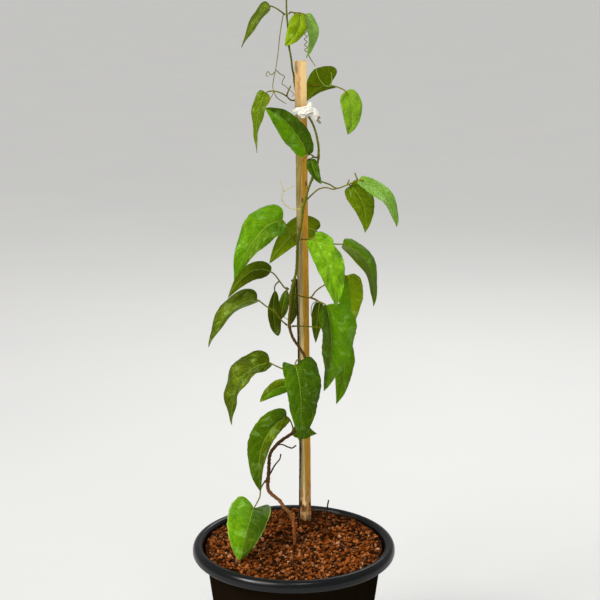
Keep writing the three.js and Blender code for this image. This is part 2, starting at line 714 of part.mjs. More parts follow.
        left: 8, right: 8.8, roll: [10, 0], fold: 15, phase: 1, lobe: 0.06,
      },
      {
        base: [42.3, 30, 354.8], mid: [59.2, 18, 345.7], tip: [65.6, 7, 328.4],
        left: 7, right: 6, roll: [45, 45], fold: 15, droop: 0.15, wave: 0.6, taper: 0.8, lobe: 0.02,
      },
    ],
  },
  tendril_left: {
    climbers: [
      [[4.9, 32.6, 335.2], [1.2, 32.6, 335.3], [-2.2, 33, 335.7], [-5.7, 33, 338.1],
        [-7.9, 33, 342.1], [-6.9, 33, 347.1],
        [-9.1, 33, 354.3]],
    ],
    tendrils: [
      [[-7.2, 33, 346.4], [-3.1, 34, 348.9], [0.2, 36.6, 350.1]],
    ],
  },
  leaf_pair_knee: {
    stalks: [
      [[14.8, 34.4, 368.9], [13.7, 32, 369.2], [11.2, 29, 371.5], [8.9, 26, 372.2], [7.2, 24.4, 375]],
    ],
    branches: [
      [[13.7, 32, 369.2], [12.2, 31, 369.4], [11.5, 30, 368.5], [11.6, 29.6, 366]],
    ],
    blades: [
      {
        base: [8.9, 26, 372.2], mid: [-2.9, 18, 391.7], tip: [-17.9, 14, 402.9],
        left: 8, right: 9.3, roll: [10, 0], fold: 14, wave: 1.3, waves: 2.5, taper: 0.85, lobe: 0.03,
      },
      {
        base: [11.5, 30, 368.5], mid: [12.9, 27, 361.8], tip: [17.9, 26, 352.8],
        left: 4, right: 4.3, roll: [20, 20], fold: 15, wave: 0.6, taper: 0.8, lobe: 0.02,
      },
    ],
    tendrils: [[[10.6, 28.4, 371.8], [7.3, 27, 369.5], [4.1, 28, 364.9]]],
  },
  leaf_upper_left: {
    stalks: [
      [[1.6, 48, 404.6], [-0.6, 44, 404.6], [-2.4, 40, 405.6], [-4.6, 36.6, 408.1], [-8.1, 35, 410.3],
        [-12.6, 34.5, 411.6], [-15.8, 34, 411.4], [-17.8, 34, 410.6], [-19.4, 33.6, 408]],
    ],
    branches: [
      [[-4.6, 36.6, 408.1], [-2.9, 35.8, 412.7], [-1.6, 35.6, 415]],
    ],
    blades: [{
      base: [-17.8, 34, 410.6], mid: [-23.2, 32, 395.3], tip: [-23.8, 30, 372.5],
      left: 6.2, right: 7, roll: [-40, -45], fold: 20, wave: 0.7, waves: 2.5, phase: 1, lobe: 0.02,
      taper: 1.35,
    }],
  },
  leaf_pair_behind: {
    stalks: [
      [[1.4, 48.2, 414], [2.6, 50, 414.4], [4, 51.4, 414.6], [13, 54.4, 413.4], [22.6, 56, 412.9],
        [26.2, 56, 412.9], [30.1, 55, 411.7], [34.2, 54, 409.5], [35.6, 53.6, 406.4]],
    ],
    blades: [
      {
        base: [23.7, 56, 413.8], mid: [16.2, 55, 411.4], tip: [8.4, 54, 403],
        left: 4, right: 13, roll: [192, 184], fold: 10, lobe: 0.3,
      },
      {
        base: [34.2, 54, 409.5], mid: [38.3, 52, 396.9], tip: [35.4, 50, 381.8],
        left: 7.2, right: 7.2, roll: [10, 10], fold: 15, droop: 0.25, wave: 0.6, phase: 2, taper: 0.75,
        lobe: 0.03,
      },
    ],
    tendrils: [
      [[24.1, 55.6, 412.6], [20.4, 53, 413.5], [16.8, 52, 417.8], [15.2, 52, 421.6], [14.5, 52, 424.9]],
      [[24.1, 55.6, 412.6], [24.9, 54, 416.9], [24.3, 53.5, 422.2]],
    ],
  },
  leaf_top_left: {
    stalks: [[[-5.3, 37.6, 459.4], [-8, 37, 461.5], [-10.8, 36.5, 463.4], [-14.9, 36, 465],
      [-17.4, 35.4, 463.6]]],
    blades: [{
      base: [-14.9, 36, 465], mid: [-22.5, 34, 457], tip: [-33.1, 30, 439.5],
      left: 6.5, right: 7, roll: [-58, -52], fold: 30, wave: 0.5, lobe: 0.02,
    }],
    tendrils: [
      [[-6.4, 37.4, 460.1], [-7.4, 36, 455], [-8.9, 34, 445.1], [-9.9, 32, 435.4], [-11.6, 31, 424.6],
        [-12.8, 30.6, 418.9], [-13.3, 30, 414.8], [-12.8, 29, 411.9], [-14.4, 27, 408.1],
        [-17.8, 25, 403.7]],
      [[-11.4, 31, 425.4], [-8.4, 32, 422.6], [-5.8, 32.4, 421], [-6.9, 32.4, 418.6], [-7.4, 32.2, 416.4],
        [-5.2, 32.2, 414.9], [-3.1, 32.4, 412.8], [-1.2, 32.6, 411.3], [0.3, 32.8, 409.6],
        [-1.2, 32.8, 408.2]],
      [[-11.7, 31, 424.2], [-14.4, 32, 422], [-16.3, 32.4, 424.2], [-17.6, 32, 421.8],
        [-15.8, 31.6, 420.9]],
      [[-13, 29.2, 412.6], [-10.6, 28, 408.1], [-4.5, 28, 404]],
    ],
  },
  leaf_top_right: {
    stalks: [
      [[-3.1, 38.2, 459.6], [-2.1, 39, 461], [0.3, 39.5, 460.5], [4.1, 40, 459.2], [4.3, 39, 456]],
    ],
    branches: [
      [[0.3, 39.5, 460.5], [4.1, 42, 460.3], [7.6, 42, 459.1], [9.4, 42, 456]],
      [[4.8, 42.2, 460.2], [6.6, 45.4, 459.2], [8.2, 46.8, 457], [8.6, 46.8, 455]],
    ],
    blades: [
      {
        base: [4.1, 40, 459.2], mid: [2.8, 34, 450.1], tip: [-5.4, 30, 440.3],
        left: 7.5, right: 5, roll: [20, -10], fold: 20, droop: 0.4, wave: 0.9, phase: 1, spread: 0.5,
        taper: 0.75,
      },
      {
        base: [7.6, 42, 459.1], mid: [12.4, 42, 447.2], tip: [8, 44, 431.5],
        left: 4.5, right: 4.5, roll: [35, 20], fold: 20, wave: 0.6, lobe: 0.03,
      },
    ],
    tendrils: [[[8.9, 46.8, 435.4], [10.4, 46, 432], [12.8, 45.4, 428.4], [14.2, 45, 426.2]]],
    coils: [[[7.6, 46.8, 455.6], [8, 46.8, 435], 0.9, 6]],
  },
  leaf_tip: {
    stalks: [[[-1.2, 37.4, 480.6], [1.4, 36.4, 482.4], [3.6, 35.6, 484.4]]],
    branches: [[[0.4, 36.6, 481.6], [-0.2, 35.2, 482.4], [-1.6, 33.6, 484.2]]],
    blades: [
      {
        base: [2.8, 35.8, 483.6], mid: [6.6, 34.2, 486.6], tip: [9.6, 32.6, 484.4],
        left: 2.6, right: 2.6, roll: [20, 20], fold: 25, wave: 0.3, lobe: 0.02,
      },
      {
        base: [-1.3, 34.2, 483.4], mid: [-4, 31.4, 486.8], tip: [-8.6, 29.6, 486.4],
        left: 2.8, right: 2.8, roll: [-20, -20], fold: 25, wave: 0.3, lobe: 0.02,
      },
    ],
  },
};

// The object

const part = new THREE.Group();

function place(name, solid, colour, roughness = 0.7) {
  const material = new THREE.MeshStandardMaterial({ color: colour, roughness, metalness: 0 });
  const mesh = new THREE.Mesh(geometryFrom(solid), material);
  mesh.name = name;
  part.add(mesh);
}

place("pot", pot(), colours.pot, 0.45);
place("soil", soil(), colours.soil, 0.95);
place("stake", stakeSolid(stakeSide), colours.stake, 0.8);
place("tie", tie(), colours.tie, 0.5);
place("main_stem", mainStem(), colours.bark, 0.8);
place("back_stem", rod(backStemRoute, () => backStemRadius, stemSides, 16), colours.bark, 0.8);
place("soil_twig", rod(twigRoute, () => twigRadius, petioleSides, 6), colours.twig, 0.9);
for (const [name, leaf] of Object.entries(leaves)) {
  place(name, compoundLeaf(leaf), leaf.blades ? colours.leaf : colours.stem, 0.5);
}

export default part;
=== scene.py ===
# %% [markdown]
# # A young flame vine in a grower pot
# The plant is a climber a few months old. It stands in a black plastic pot of coir compost and is
# led up a split wooden stake, with one plastic tie near the top. Everything on it is thin: leaves
# of a third of a millimetre, stalks of one millimetre, tendrils of half of that. So the whole
# likeness lies in the lines of the stems and in how each leaf hangs, folds and shines.
# The plain model that this script loads already has those lines. Here every part of it is made
# again with finer form, and gets its surface.
# %% Load the plain model
import math
import random

import bmesh
import bpy
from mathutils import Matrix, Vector, noise


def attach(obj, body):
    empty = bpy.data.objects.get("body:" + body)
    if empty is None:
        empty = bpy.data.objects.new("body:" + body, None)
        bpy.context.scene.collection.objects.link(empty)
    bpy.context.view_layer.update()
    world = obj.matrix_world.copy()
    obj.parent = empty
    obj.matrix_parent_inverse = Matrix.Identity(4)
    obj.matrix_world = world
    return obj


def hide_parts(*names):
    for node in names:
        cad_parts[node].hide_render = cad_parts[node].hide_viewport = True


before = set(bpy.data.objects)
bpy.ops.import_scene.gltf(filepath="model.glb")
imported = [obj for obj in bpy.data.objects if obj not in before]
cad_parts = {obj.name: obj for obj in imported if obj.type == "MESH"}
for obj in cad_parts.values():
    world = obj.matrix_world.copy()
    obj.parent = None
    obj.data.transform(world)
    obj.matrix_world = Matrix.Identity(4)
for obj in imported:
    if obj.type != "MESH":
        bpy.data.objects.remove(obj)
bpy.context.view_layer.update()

# %% [markdown]
# ## Where the viewer stands
# The photographer stood about 90 cm away with a long lens and looked down by 13 degrees: the pot's
# rim is an open ellipse, while the leaves higher up are seen almost level. The pot's foot and the
# vine's growing tip lie outside the picture, so the camera crops them too.
# %% Camera
PITCH = math.radians(13.49)
camera = bpy.data.objects.new("camera", bpy.data.cameras.new("camera"))
camera.data.lens = 87
camera.data.sensor_width = 36
camera.data.clip_end = 200
camera.location = (0.0041, -0.9, 0.4981)
camera.rotation_euler = (math.pi / 2 - PITCH, 0, 0)
bpy.context.scene.collection.objects.link(camera)
bpy.context.scene.camera = camera
bpy.context.scene.view_settings.view_transform = "Standard"

# %% [markdown]
# ## Light and floor
# A plant is best shown by one broad soft light high on the left, so that leaves which face up are
# bright and those that face down stay deep. A sun of forty degrees across gives that, and lights
# the whole floor alike, which a lamp near the plant would not. Three square lamps add the sheen
# on the leaves and an edge of light from behind. A pale sky fills the shadows. The floor is
# a plain pale disc, wide enough to reach past the top of the picture.
# %% Soft lights
def aimed(name, data, place):
    """Hangs a light and turns it to the middle of the plant."""
    light = bpy.data.objects.new(name, data)
    light.location = place
    aim = Vector((0, 0, 0.25)) - light.location
    light.rotation_euler = aim.to_track_quat("-Z", "Y").to_euler()
    bpy.context.scene.collection.objects.link(light)


def square_lamp(name, place, size, watts):
    lamp = bpy.data.lights.new(name, "AREA")
    lamp.size = size
    lamp.energy = watts
    aimed(name, lamp, place)


main_light = bpy.data.lights.new("broad light", "SUN")
main_light.energy = 2.2
main_light.angle = math.radians(40)
main_light.color = (1, 0.985, 0.95)
aimed("broad light", main_light, (-0.9, -0.75, 1.5))
square_lamp("left lamp", (-0.9, -0.6, 0.9), 0.3, 5)
square_lamp("top lamp", (0.15, -0.6, 1.3), 0.3, 3)
square_lamp("back lamp", (0.35, 0.9, 1.1), 0.6, 6)

sky = bpy.data.worlds.new("pale room")
sky.use_nodes = True
glow = sky.node_tree.nodes["Background"].inputs
glow["Color"].default_value = (0.98, 0.985, 1, 1)
glow["Strength"].default_value = 0.36
bpy.context.scene.world = sky

# %% [markdown]
# ## Writing materials as sums
# A material is a net of nodes. Drawn by hand it is clear; written in a script it soon takes more
# lines than the pattern that it makes. Here a `Wire` stands for one output of a node, and the
# ordinary signs for sums add the Math nodes that work them out. Colours don't go through Math
# nodes, which would turn them grey, but through `mix`.
# %% Sums on wires
class Wire:
    """One output of a node in a material."""

    def __init__(self, finish, socket):
        self.finish = finish
        self.socket = socket

    def sum(self, operation, *terms):
        return self.finish.node("ShaderNodeMath", {"operation": operation}, dict(enumerate(terms)))

    def __add__(self, other):
        return self.sum("ADD", self, other)

    def __sub__(self, other):
        return self.sum("SUBTRACT", self, other)

    def __rsub__(self, other):
        return self.sum("SUBTRACT", other, self)

    def __mul__(self, other):
        return self.sum("MULTIPLY", self, other)

    def __truediv__(self, other):
        return self.sum("DIVIDE", self, other)

    def __pow__(self, other):
        return self.sum("POWER", self, other)

    def __abs__(self):
        return self.sum("ABSOLUTE", self)

    def above(self, low, high):
        """0 below low, 1 above high, smooth between; the other way round when low is larger."""
        ends = {"From Min": low, "From Max": high, "To Min": 0.0, "To Max": 1.0}
        if low > high:
            ends = {"From Min": high, "From Max": low, "To Min": 1.0, "To Max": 0.0}
        return self.finish.node(
            "ShaderNodeMapRange", {"interpolation_type": "SMOOTHSTEP"}, {"Value": self, **ends})

    __radd__ = __add__
    __rmul__ = __mul__


# %% The one way to add a node
MM = 0.001


def paint(red, green, blue):
    """A colour as a screen shows it (0 to 255), as the linear light that a shader works with."""
    shown = [c / 255 for c in (red, green, blue)]
    return (*[c / 12.92 if c < 0.04 else ((c + 0.055) / 1.055) ** 2.4 for c in shown], 1)


class Finish:
    """A material that is built node by node."""

    def __init__(self, name):
        self.material = bpy.data.materials.new(name)
        self.material.use_nodes = True
        self.tree = self.material.node_tree
        self.tree.nodes.clear()

    def node(self, kind, settings=None, sockets=None, output=0):
        """Adds a node: its settings first, then its sockets' values or wires; gives one output."""
        node = self.tree.nodes.new(kind)
        for name, value in (settings or {}).items():
            if name == "stops":
                self.set_stops(node.color_ramp.elements, value)
            else:
                setattr(node, name, value)
        for name, value in (sockets or {}).items():
            if isinstance(value, Wire):
                self.tree.links.new(value.socket, node.inputs[name])
            else:
                node.inputs[name].default_value = value
        return Wire(self, node.outputs[output]) if node.outputs else None

    def set_stops(self, elements, stops):
        """A ramp's stops as (place, colour)."""
        while len(elements) < len(stops):
            elements.new(0.5)
        for element, (place, colour) in zip(elements, stops):
            element.position = place
            element.color = colour

    def mix(self, mask, low, high, blend="MIX"):
        """One colour where mask is 0, the other where it is 1."""
        return self.node("ShaderNodeMix", {"data_type": "RGBA", "blend_type": blend},
                         {0: mask, 6: low, 7: high}, output=2)

    def times(self, colour, factor):
        """A colour made darker, lighter or warmer."""
        return self.mix(1.0, colour, (*factor, 1), "MULTIPLY")

    def cover(self, colour, *coats):
        """Lays coats of (mask, colour) over a colour, one after another."""
        for mask, coat in coats:
            colour = self.mix(mask, colour, coat)
        return colour

    def noise(self, place, scale, detail=3, roughness=0.55, distortion=0):
        return self.node("ShaderNodeTexNoise", None, {
            "Vector": place, "Scale": scale, "Detail": detail, "Roughness": roughness,
            "Distortion": distortion})

    def cells(self, place, scale, feature="F1"):
        return self.node("ShaderNodeTexVoronoi", {"feature": feature},
                         {"Vector": place, "Scale": scale})

    def ramp(self, share, *stops):
        """Colours along a line from 0 to 1; each stop is (place, colour)."""
        return self.node("ShaderNodeValToRGB", {"stops": stops}, {"Fac": share})

    def stretch(self, place, scale):
        """A place drawn out or pressed together along each axis."""
        return self.node("ShaderNodeVectorMath", {"operation": "MULTIPLY"}, {0: place, 1: scale})

    def parts(self, place):
        node = self.node("ShaderNodeSeparateXYZ", None, {0: place}).socket.node
        return [Wire(self, socket) for socket in node.outputs]

    def millimetres(self):
        """Object coordinates, counted in millimetres."""
        return self.stretch(self.node("ShaderNodeTexCoord", output="Object"), [1 / MM] * 3)

    def remembered(self, name, output="Vector"):
        """What the mesh remembers at each of its points under that name."""
        return self.node("ShaderNodeAttribute", {"attribute_name": name}, None, output)

    def relief(self, height, depth):
        """Bumps; height runs about 0 to 1 and depth is in millimetres."""
        return self.node("ShaderNodeBump", None,
                         {"Height": height, "Distance": depth * MM, "Strength": 1.0})

    def surface(self, colour, roughness, normal, **constants):
        """Closes the material with one Principled shader."""
        sockets = {"Base Color": colour, "Roughness": roughness, "Normal": normal}
        sockets.update({name.replace("_", " "): value for name, value in constants.items()})
        shader = self.node("ShaderNodeBsdfPrincipled", None, sockets)
        self.node("ShaderNodeOutputMaterial", None, {"Surface": shader})


# %% Floor
concrete = Finish("pale floor")
spot = concrete.millimetres()
colour = concrete.mix(concrete.noise(spot, 0.004), paint(214, 214, 212), paint(209, 209, 208))
concrete.surface(colour, 0.75, concrete.relief(concrete.noise(spot, 0.4), 0.02))
floor_mesh = bmesh.new()
bmesh.ops.create_circle(floor_mesh, cap_ends=True, segments=96, radius=45)
floor_data = bpy.data.meshes.new("floor")
floor_mesh.to_mesh(floor_data)
floor_mesh.free()
floor_data.materials.append(concrete.material)
floor = bpy.data.objects.new("floor", floor_data)
bpy.context.scene.collection.objects.link(floor)

# %% [markdown]
# ## Shapes from a rolled-up grid
# A stem, a stalk, a tendril and even a leaf have the same build: a long skin with a left and a
# right edge that meet. So one helper makes them all. It starts from a flat grid, carries each of
# its points to where a rule says, and welds the two edges, which leaves a closed tube. A leaf is
# such a tube pressed flat. Spin or extrude would do for a straight rod, but here every ring of
# points has its own place, size and turn.
# While the plant is made its points are in millimetres, as a gardener measures it; the last step
# turns them into metres. Each point also remembers two things for the materials: its `place` on
# the part, and its `tint`.
# %% A piece in the making
class Form:
    """A piece in the making, in millimetres."""

    def __init__(self, name):
        self.name = name
        self.bm = bmesh.new()
        self.place = self.bm.verts.layers.float_vector.new("place")
        self.tint = self.bm.verts.layers.float_color.new("tint")
        self.share = self.bm.verts.layers.float_vector.new("share")
        self.map = self.bm.loops.layers.uv.new("UVMap")

    def roll(self, around, along, spot, slot=0):
        """Rolls a grid into a closed tube; spot(i, k) gives point, place and tint of corner i in ring k."""
        grid = bmesh.ops.create_grid(self.bm, x_segments=around, y_segments=along, size=0.5)["verts"]
        number = {}
        for count, vert in enumerate(grid):
            k, i = divmod(count, around + 1)
            vert.co, vert[self.place], vert[self.tint], *more = spot(i % around, k)
            if more:
                vert[self.share] = more[0]
            number[vert] = (i, k)
        faces = {face for vert in grid for face in vert.link_faces}
        for face in faces:
            face.material_index = slot
            face.smooth = True
            for loop in face.loops:
                i, k = number[loop.vert]
                loop[self.map].uv = (i / around, k / along)
        bmesh.ops.remove_doubles(self.bm, verts=grid, dist=1e-5)
        ends = {edge for face in faces if face.is_valid for edge in face.edges if edge.is_boundary}
        if ends:
            caps = bmesh.ops.holes_fill(self.bm, edges=list(ends))["faces"]
            for cap in caps:
                cap.material_index = slot
            faces.update(caps)
        faces = [face for face in faces if face.is_valid]
        for face in faces:
            face.normal_update()
        flow = sum(face.calc_center_median().dot(face.normal) * face.calc_area() for face in faces)
        if flow < 0:
            bmesh.ops.reverse_faces(self.bm, faces=faces)

    def finish(self, finishes, nodes, slot, crease=60):
        """Hands the piece over: in metres, riding on the plant, in place of its plain parts."""
        bmesh.ops.scale(self.bm, vec=(MM, MM, MM), verts=self.bm.verts)
        mesh = bpy.data.meshes.new(self.name)
        self.bm.to_mesh(mesh)
        self.bm.free()
        for material in finishes:
            mesh.materials.append(material)
        mesh.shade_smooth()
        mesh.set_sharp_from_angle(angle=math.radians(crease))
        piece = bpy.data.objects.new(self.name, mesh)
        bpy.context.scene.collection.objects.link(piece)
        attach(piece, "root")
        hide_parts(*nodes)
        mesh.calc_loop_triangles()
        print(f"{self.name}: {len(mesh.loop_triangles)} triangles")
        return piece


# %% A smooth line through a few points
def bend_through(route, spacing):
    """Points about `spacing` apart on the smooth curve through a route, evenly spread."""
    stops = [Vector(p) for p in route]
    stops = [2 * stops[0] - stops[1], *stops, 2 * stops[-1] - stops[-2]]
    fine = []
    for a, b, c, d in zip(stops, stops[1:], stops[2:], stops[3:]):
        before, span, after = (max((q - p).length, 1e-6) ** 0.5 for p, q in ((a, b), (b, c), (c, d)))
        leave = (b - a) * (span / before) - (c - a) * (span / (before + span)) + (c - b)
        arrive = (c - b) - (d - b) * (span / (span + after)) + (d - c) * (span / after)
        for k in range(12):
            s = k / 12
            fine.append(b + leave * s + (3 * (c - b) - 2 * leave - arrive) * s ** 2
                        + (2 * (b - c) + leave + arrive) * s ** 3)
    fine.append(stops[-2])
    reach = [0.0]
    for p, q in zip(fine, fine[1:]):
        reach.append(reach[-1] + (q - p).length)
    count = max(4, round(reach[-1] / spacing))
    line, seen = [], 0
    for k in range(count + 1):
        goal = reach[-1] * k / count
        while seen < len(fine) - 2 and reach[seen + 1] < goal:
            seen += 1
        share = (goal - reach[seen]) / max(reach[seen + 1] - reach[seen], 1e-9)
        line.append(fine[seen].lerp(fine[seen + 1], min(1, share)))
    return line, reach[-1]


def rings(line):
    """Two directions square to the line at each of its points, which don't twist on the way."""
    sides = []
    side = Vector((0.31, 0.9, 0.17))
    for k in range(len(line)):
        ahead = (line[min(k + 1, len(line) - 1)] - line[max(k - 1, 0)]).normalized()
        side = (side - ahead * side.dot(ahead)).normalized()
        sides.append((side.copy(), ahead.cross(side)))
    return sides


def add_rod(form, route, radius, tint, around=8, spacing=0.8, lumps=0.0, slot=0):
    """A round rod along a route. radius and tint are rules of (distance, share, point), or plain values."""
    line, length = bend_through(route, spacing)
    sides = rings(line)
    last = len(line) - 1
    seed = len(form.bm.verts) * 0.37

    def spot(i, k):
        point, (across, over) = line[k], sides[k]
        share = k / last
        size = radius(share * length, share, point) if callable(radius) else radius
        if k in (0, last):
            size = 0
        angle = 2 * math.pi * i / around
        outward = across * math.cos(angle) + over * math.sin(angle)
        if lumps and size:
            size *= 1 + lumps * noise.noise(Vector((outward.x, outward.y, share * length * 0.8 + seed)))
        colour = tint(share * length, share, point) if callable(tint) else tint
        return point + outward * size, Vector((share * length, share, 0)), colour

    form.roll(around, last, spot, slot)


# A check of the way a line is followed: a straight run comes back straight
straight_run, run_length = bend_through([(0, 0, 0), (0, 0, 5), (0, 0, 10)], 2.5)
print("a straight run of", round(run_length, 3), "mm in", len(straight_run) - 1, "steps")

# %% [markdown]
# ## The pot
# A grower's pot is blown or moulded from thin black plastic: a plain tapering cup, a small shoulder
# and a rim that is rolled outwards, which makes the soft edge stiff. It is a turned shape, so half
# its section is drawn once, its corners are rounded, and it is spun round the upright axis.
# The holes under it are cut with six pegs, because a spun shape can't have holes off its axis.
# %% Pot: section
POT_HEIGHT = 118
POT_FLOOR = 2.2
LIP = POT_HEIGHT - 7.8
POT_SECTION = [
    (1e-4, 0), (44, 0), (57.5, 103), (61.1, LIP), (61.5, 114.6), (65.2, 115.4), (65.6, 110.6),
    (66.8, LIP), (67.2, 112.8), (66.7, 115.6), (65, 117.4), (63.2, POT_HEIGHT), (60.9, 117),
    (59.9, 114.8), (59.1, LIP), (55.7, 103), (42.5, POT_FLOOR), (1e-4, POT_FLOOR),
]


def rounded(section, cut, times=2):
    """A section with each inner corner cut back and cut again, which rounds it."""
    for _ in range(times):
        soft = [section[0]]
        for before, corner, after in zip(section, section[1:], section[2:]):
            corner = Vector(corner)
            for other in (Vector(before), Vector(after)):
                gap = (other - corner).length
                soft.append(tuple(corner.lerp(other, min(cut, gap * 0.4) / gap)))
        section = soft + [section[-1]]
        cut *= 0.4
    return section


def spun(form, section, steps):
    """Turns a section about the upright axis into a closed shape."""
    verts = [form.bm.verts.new((r, 0, z)) for r, z in section]
    edges = [form.bm.edges.new(pair) for pair in zip(verts, verts[1:])]
    bmesh.ops.spin(form.bm, geom=verts + edges, axis=(0, 0, 1), cent=(0, 0, 0),
                   angle=2 * math.pi, steps=steps, use_merge=True)
    bmesh.ops.remove_doubles(form.bm, verts=form.bm.verts, dist=1e-3)
    bmesh.ops.recalc_face_normals(form.bm, faces=form.bm.faces)


pot_section = rounded(POT_SECTION, 0.9)
print("pot section:", len(pot_section), "corners")

# %% [markdown]
# ### Black plastic
# The plastic is dyed through, so it has one colour, but it is never even: the mould leaves faint
# upright streaks, dust lies on what faces up, and handling leaves the rim a little shinier.
# The streaks follow the angle round the pot, which the arc tangent of X and Y gives.
# %% Pot: finish
plastic = Finish("black pot plastic")
spot = plastic.millimetres()
x, y, z = plastic.parts(spot)
turn = plastic.node("ShaderNodeMath", {"operation": "ARCTAN2"}, {0: y, 1: x})
way_round = plastic.node("ShaderNodeCombineXYZ", None, {"X": turn * 9, "Y": z * 0.012})
streaks = plastic.noise(way_round, 2.2, detail=4, roughness=0.6)
dust = plastic.noise(spot, 0.09, detail=6, roughness=0.65).above(0.5, 0.78)
grime = plastic.noise(spot, 0.9, detail=4).above(0.52, 0.75)
grain = plastic.noise(spot, 2.6, detail=2)
up = plastic.parts(plastic.node("ShaderNodeNewGeometry", output="Normal"))[2]
rim = z.above(POT_HEIGHT - 10, POT_HEIGHT - 7)
colour = plastic.cover(
    plastic.mix(streaks, paint(19, 13, 7), paint(30, 22, 13)),
    (rim, paint(7, 9, 10)),
    (dust * up.above(0.1, 0.9) * 0.2, paint(70, 64, 56)),
    (grime * 0.22, paint(20, 16, 12)))
plastic.surface(
    colour, 0.45 + streaks * 0.12 + dust * 0.12, plastic.relief(grain * 0.35 + streaks * 0.65, 0.1),
    Specular_IOR_Level=0.0, Coat_Weight=rim * 0.65, Coat_Roughness=0.22)

# %% Pot: turning and drilling
DRAIN_HOLES = 6
HOLE_RADIUS = 4
HOLE_RING = 27
PEG_LENGTH = 6
PEG_LEVEL = 1


def carved(piece, cutter):
    """Cuts one mesh object out of another and keeps the result as a plain mesh."""
    tool = piece.modifiers.new("holes", "BOOLEAN")
    tool.object = cutter
    tool.operation = "DIFFERENCE"
    tool.solver = "EXACT"
    ready = piece.evaluated_get(bpy.context.evaluated_depsgraph_get())
    mesh = bpy.data.meshes.new_from_object(ready)
    piece.modifiers.clear()
    piece.data = mesh
    bpy.data.objects.remove(cutter)


drills = bmesh.new()
for i in range(DRAIN_HOLES):
    angle = 2 * math.pi * (i + 0.5) / DRAIN_HOLES
    peg = bmesh.ops.create_cone(drills, cap_ends=True, segments=32, radius1=HOLE_RADIUS,
                                radius2=HOLE_RADIUS, depth=PEG_LENGTH)["verts"]
    middle = (HOLE_RING * math.cos(angle), HOLE_RING * math.sin(angle), PEG_LEVEL)
    bmesh.ops.translate(drills, verts=peg, vec=middle)
bmesh.ops.scale(drills, vec=(MM, MM, MM), verts=drills.verts)
drill_mesh = bpy.data.meshes.new("drills")
drills.to_mesh(drill_mesh)
drills.free()
drill = bpy.data.objects.new("drills", drill_mesh)
bpy.context.scene.collection.objects.link(drill)

form = Form("grower_pot")
spun(form, pot_section, 144)
pot = form.finish([plastic.material], ["pot"], "pot_plastic", crease=40)
carved(pot, drill)
pot.data.shade_smooth()
pot.data.set_sharp_from_angle(angle=math.radians(40))

# %% [markdown]
# ## The soil
# Coir compost is chopped coconut husk: soft red-brown crumbs of one to three millimetres, with
# dark gaps between them, some straw-coloured fibres, and a few grains that glint. A flat disc with
# a brown pattern would look like a carpet. So the surface is heaped and pitted for real, and 2,600
# loose crumbs lie on it. Each crumb has only twenty faces; seen from a metre away that is plenty.
# %% Soil: its surface
SOIL_LEVEL = 114.4
SOIL_EDGE = 58.6
SOIL_FOOT = 2.6
TOP_RINGS = 120
HEAP = 2.6
LUMPS = 0.7


def soil_height(x, y):
    """The plain surface: level in front, a little higher at the back, with broad lumps."""
    heap = HEAP * max(0, y / 60) ** 1.5
    lumps = (math.sin(x * 0.31 + 1.3 * math.sin(y * 0.17)) * math.cos(y * 0.27 + 0.9)
             + 0.6 * math.sin(x * 0.73 + y * 0.55))
    return SOIL_LEVEL + heap + LUMPS * lumps


def crumb_relief(x, y):
    """Crumbs and gaps on the surface, from about -1.6 to 1.2 mm."""
    coarse = noise.voronoi(Vector((x / 3.4, y / 3.4, 0.3)))[0][0]
    fine = noise.voronoi(Vector((x / 1.7, y / 1.7, 4.1)))[0][0]
    lump = noise.fractal(Vector((x / 9, y / 9, 2.2)), 1.0, 2.0, 3)
    return 1.0 - 2.1 * coarse - 0.7 * fine + 0.5 * lump


def well(x, y):
    """1 on open soil, 0 beside the wall of the pot."""
    return min(1, max(0, (SOIL_EDGE - math.hypot(x, y)) / 3))


form = Form("coir_compost")
spun(form, [(1e-4, SOIL_FOOT), (42.2, SOIL_FOOT), (55.2, 103), (58.2, 109), (SOIL_EDGE, 112)]
     + [(SOIL_EDGE * (1 - k / TOP_RINGS), SOIL_LEVEL) for k in range(TOP_RINGS)]
     + [(1e-4, SOIL_LEVEL)], 300)
for vert in form.bm.verts:
    x, y, z = vert.co
    if z > SOIL_LEVEL - 1:
        relief = crumb_relief(x, y)
        vert.co.z = soil_height(x, y) + relief * (0.35 + 0.65 * well(x, y))
        vert[form.place] = (relief, 0.5 + 0.5 * noise.noise(Vector((x / 2.2, y / 2.2, 9))), 0)

# %% Soil: loose crumbs and fibres
CRUMBS = 2600
HANDFUL = 65
FIBRES = 120
TRUNKS = [(0.6, 2, 3), (8.8, 42, 5.5), (3.9, 39.4, 2), (22, 45, 1.5)]
chance = random.Random(7)


def free_spot(edge=SOIL_EDGE - 2.2):
    """A chance place on the soil, away from whatever stands in it."""
    while True:
        x, y = chance.uniform(-edge, edge), chance.uniform(-edge, edge)
        if math.hypot(x, y) < edge and all(math.hypot(x - a, y - b) > r for a, b, r in TRUNKS):
            return x, y


def pour(form, loose, name):
    """Adds a small separate mesh to a form, which is quicker than building in the form itself."""
    heap = bpy.data.meshes.new(name)
    loose.to_mesh(heap)
    loose.free()
    form.bm.from_mesh(heap)
    bpy.data.meshes.remove(heap)


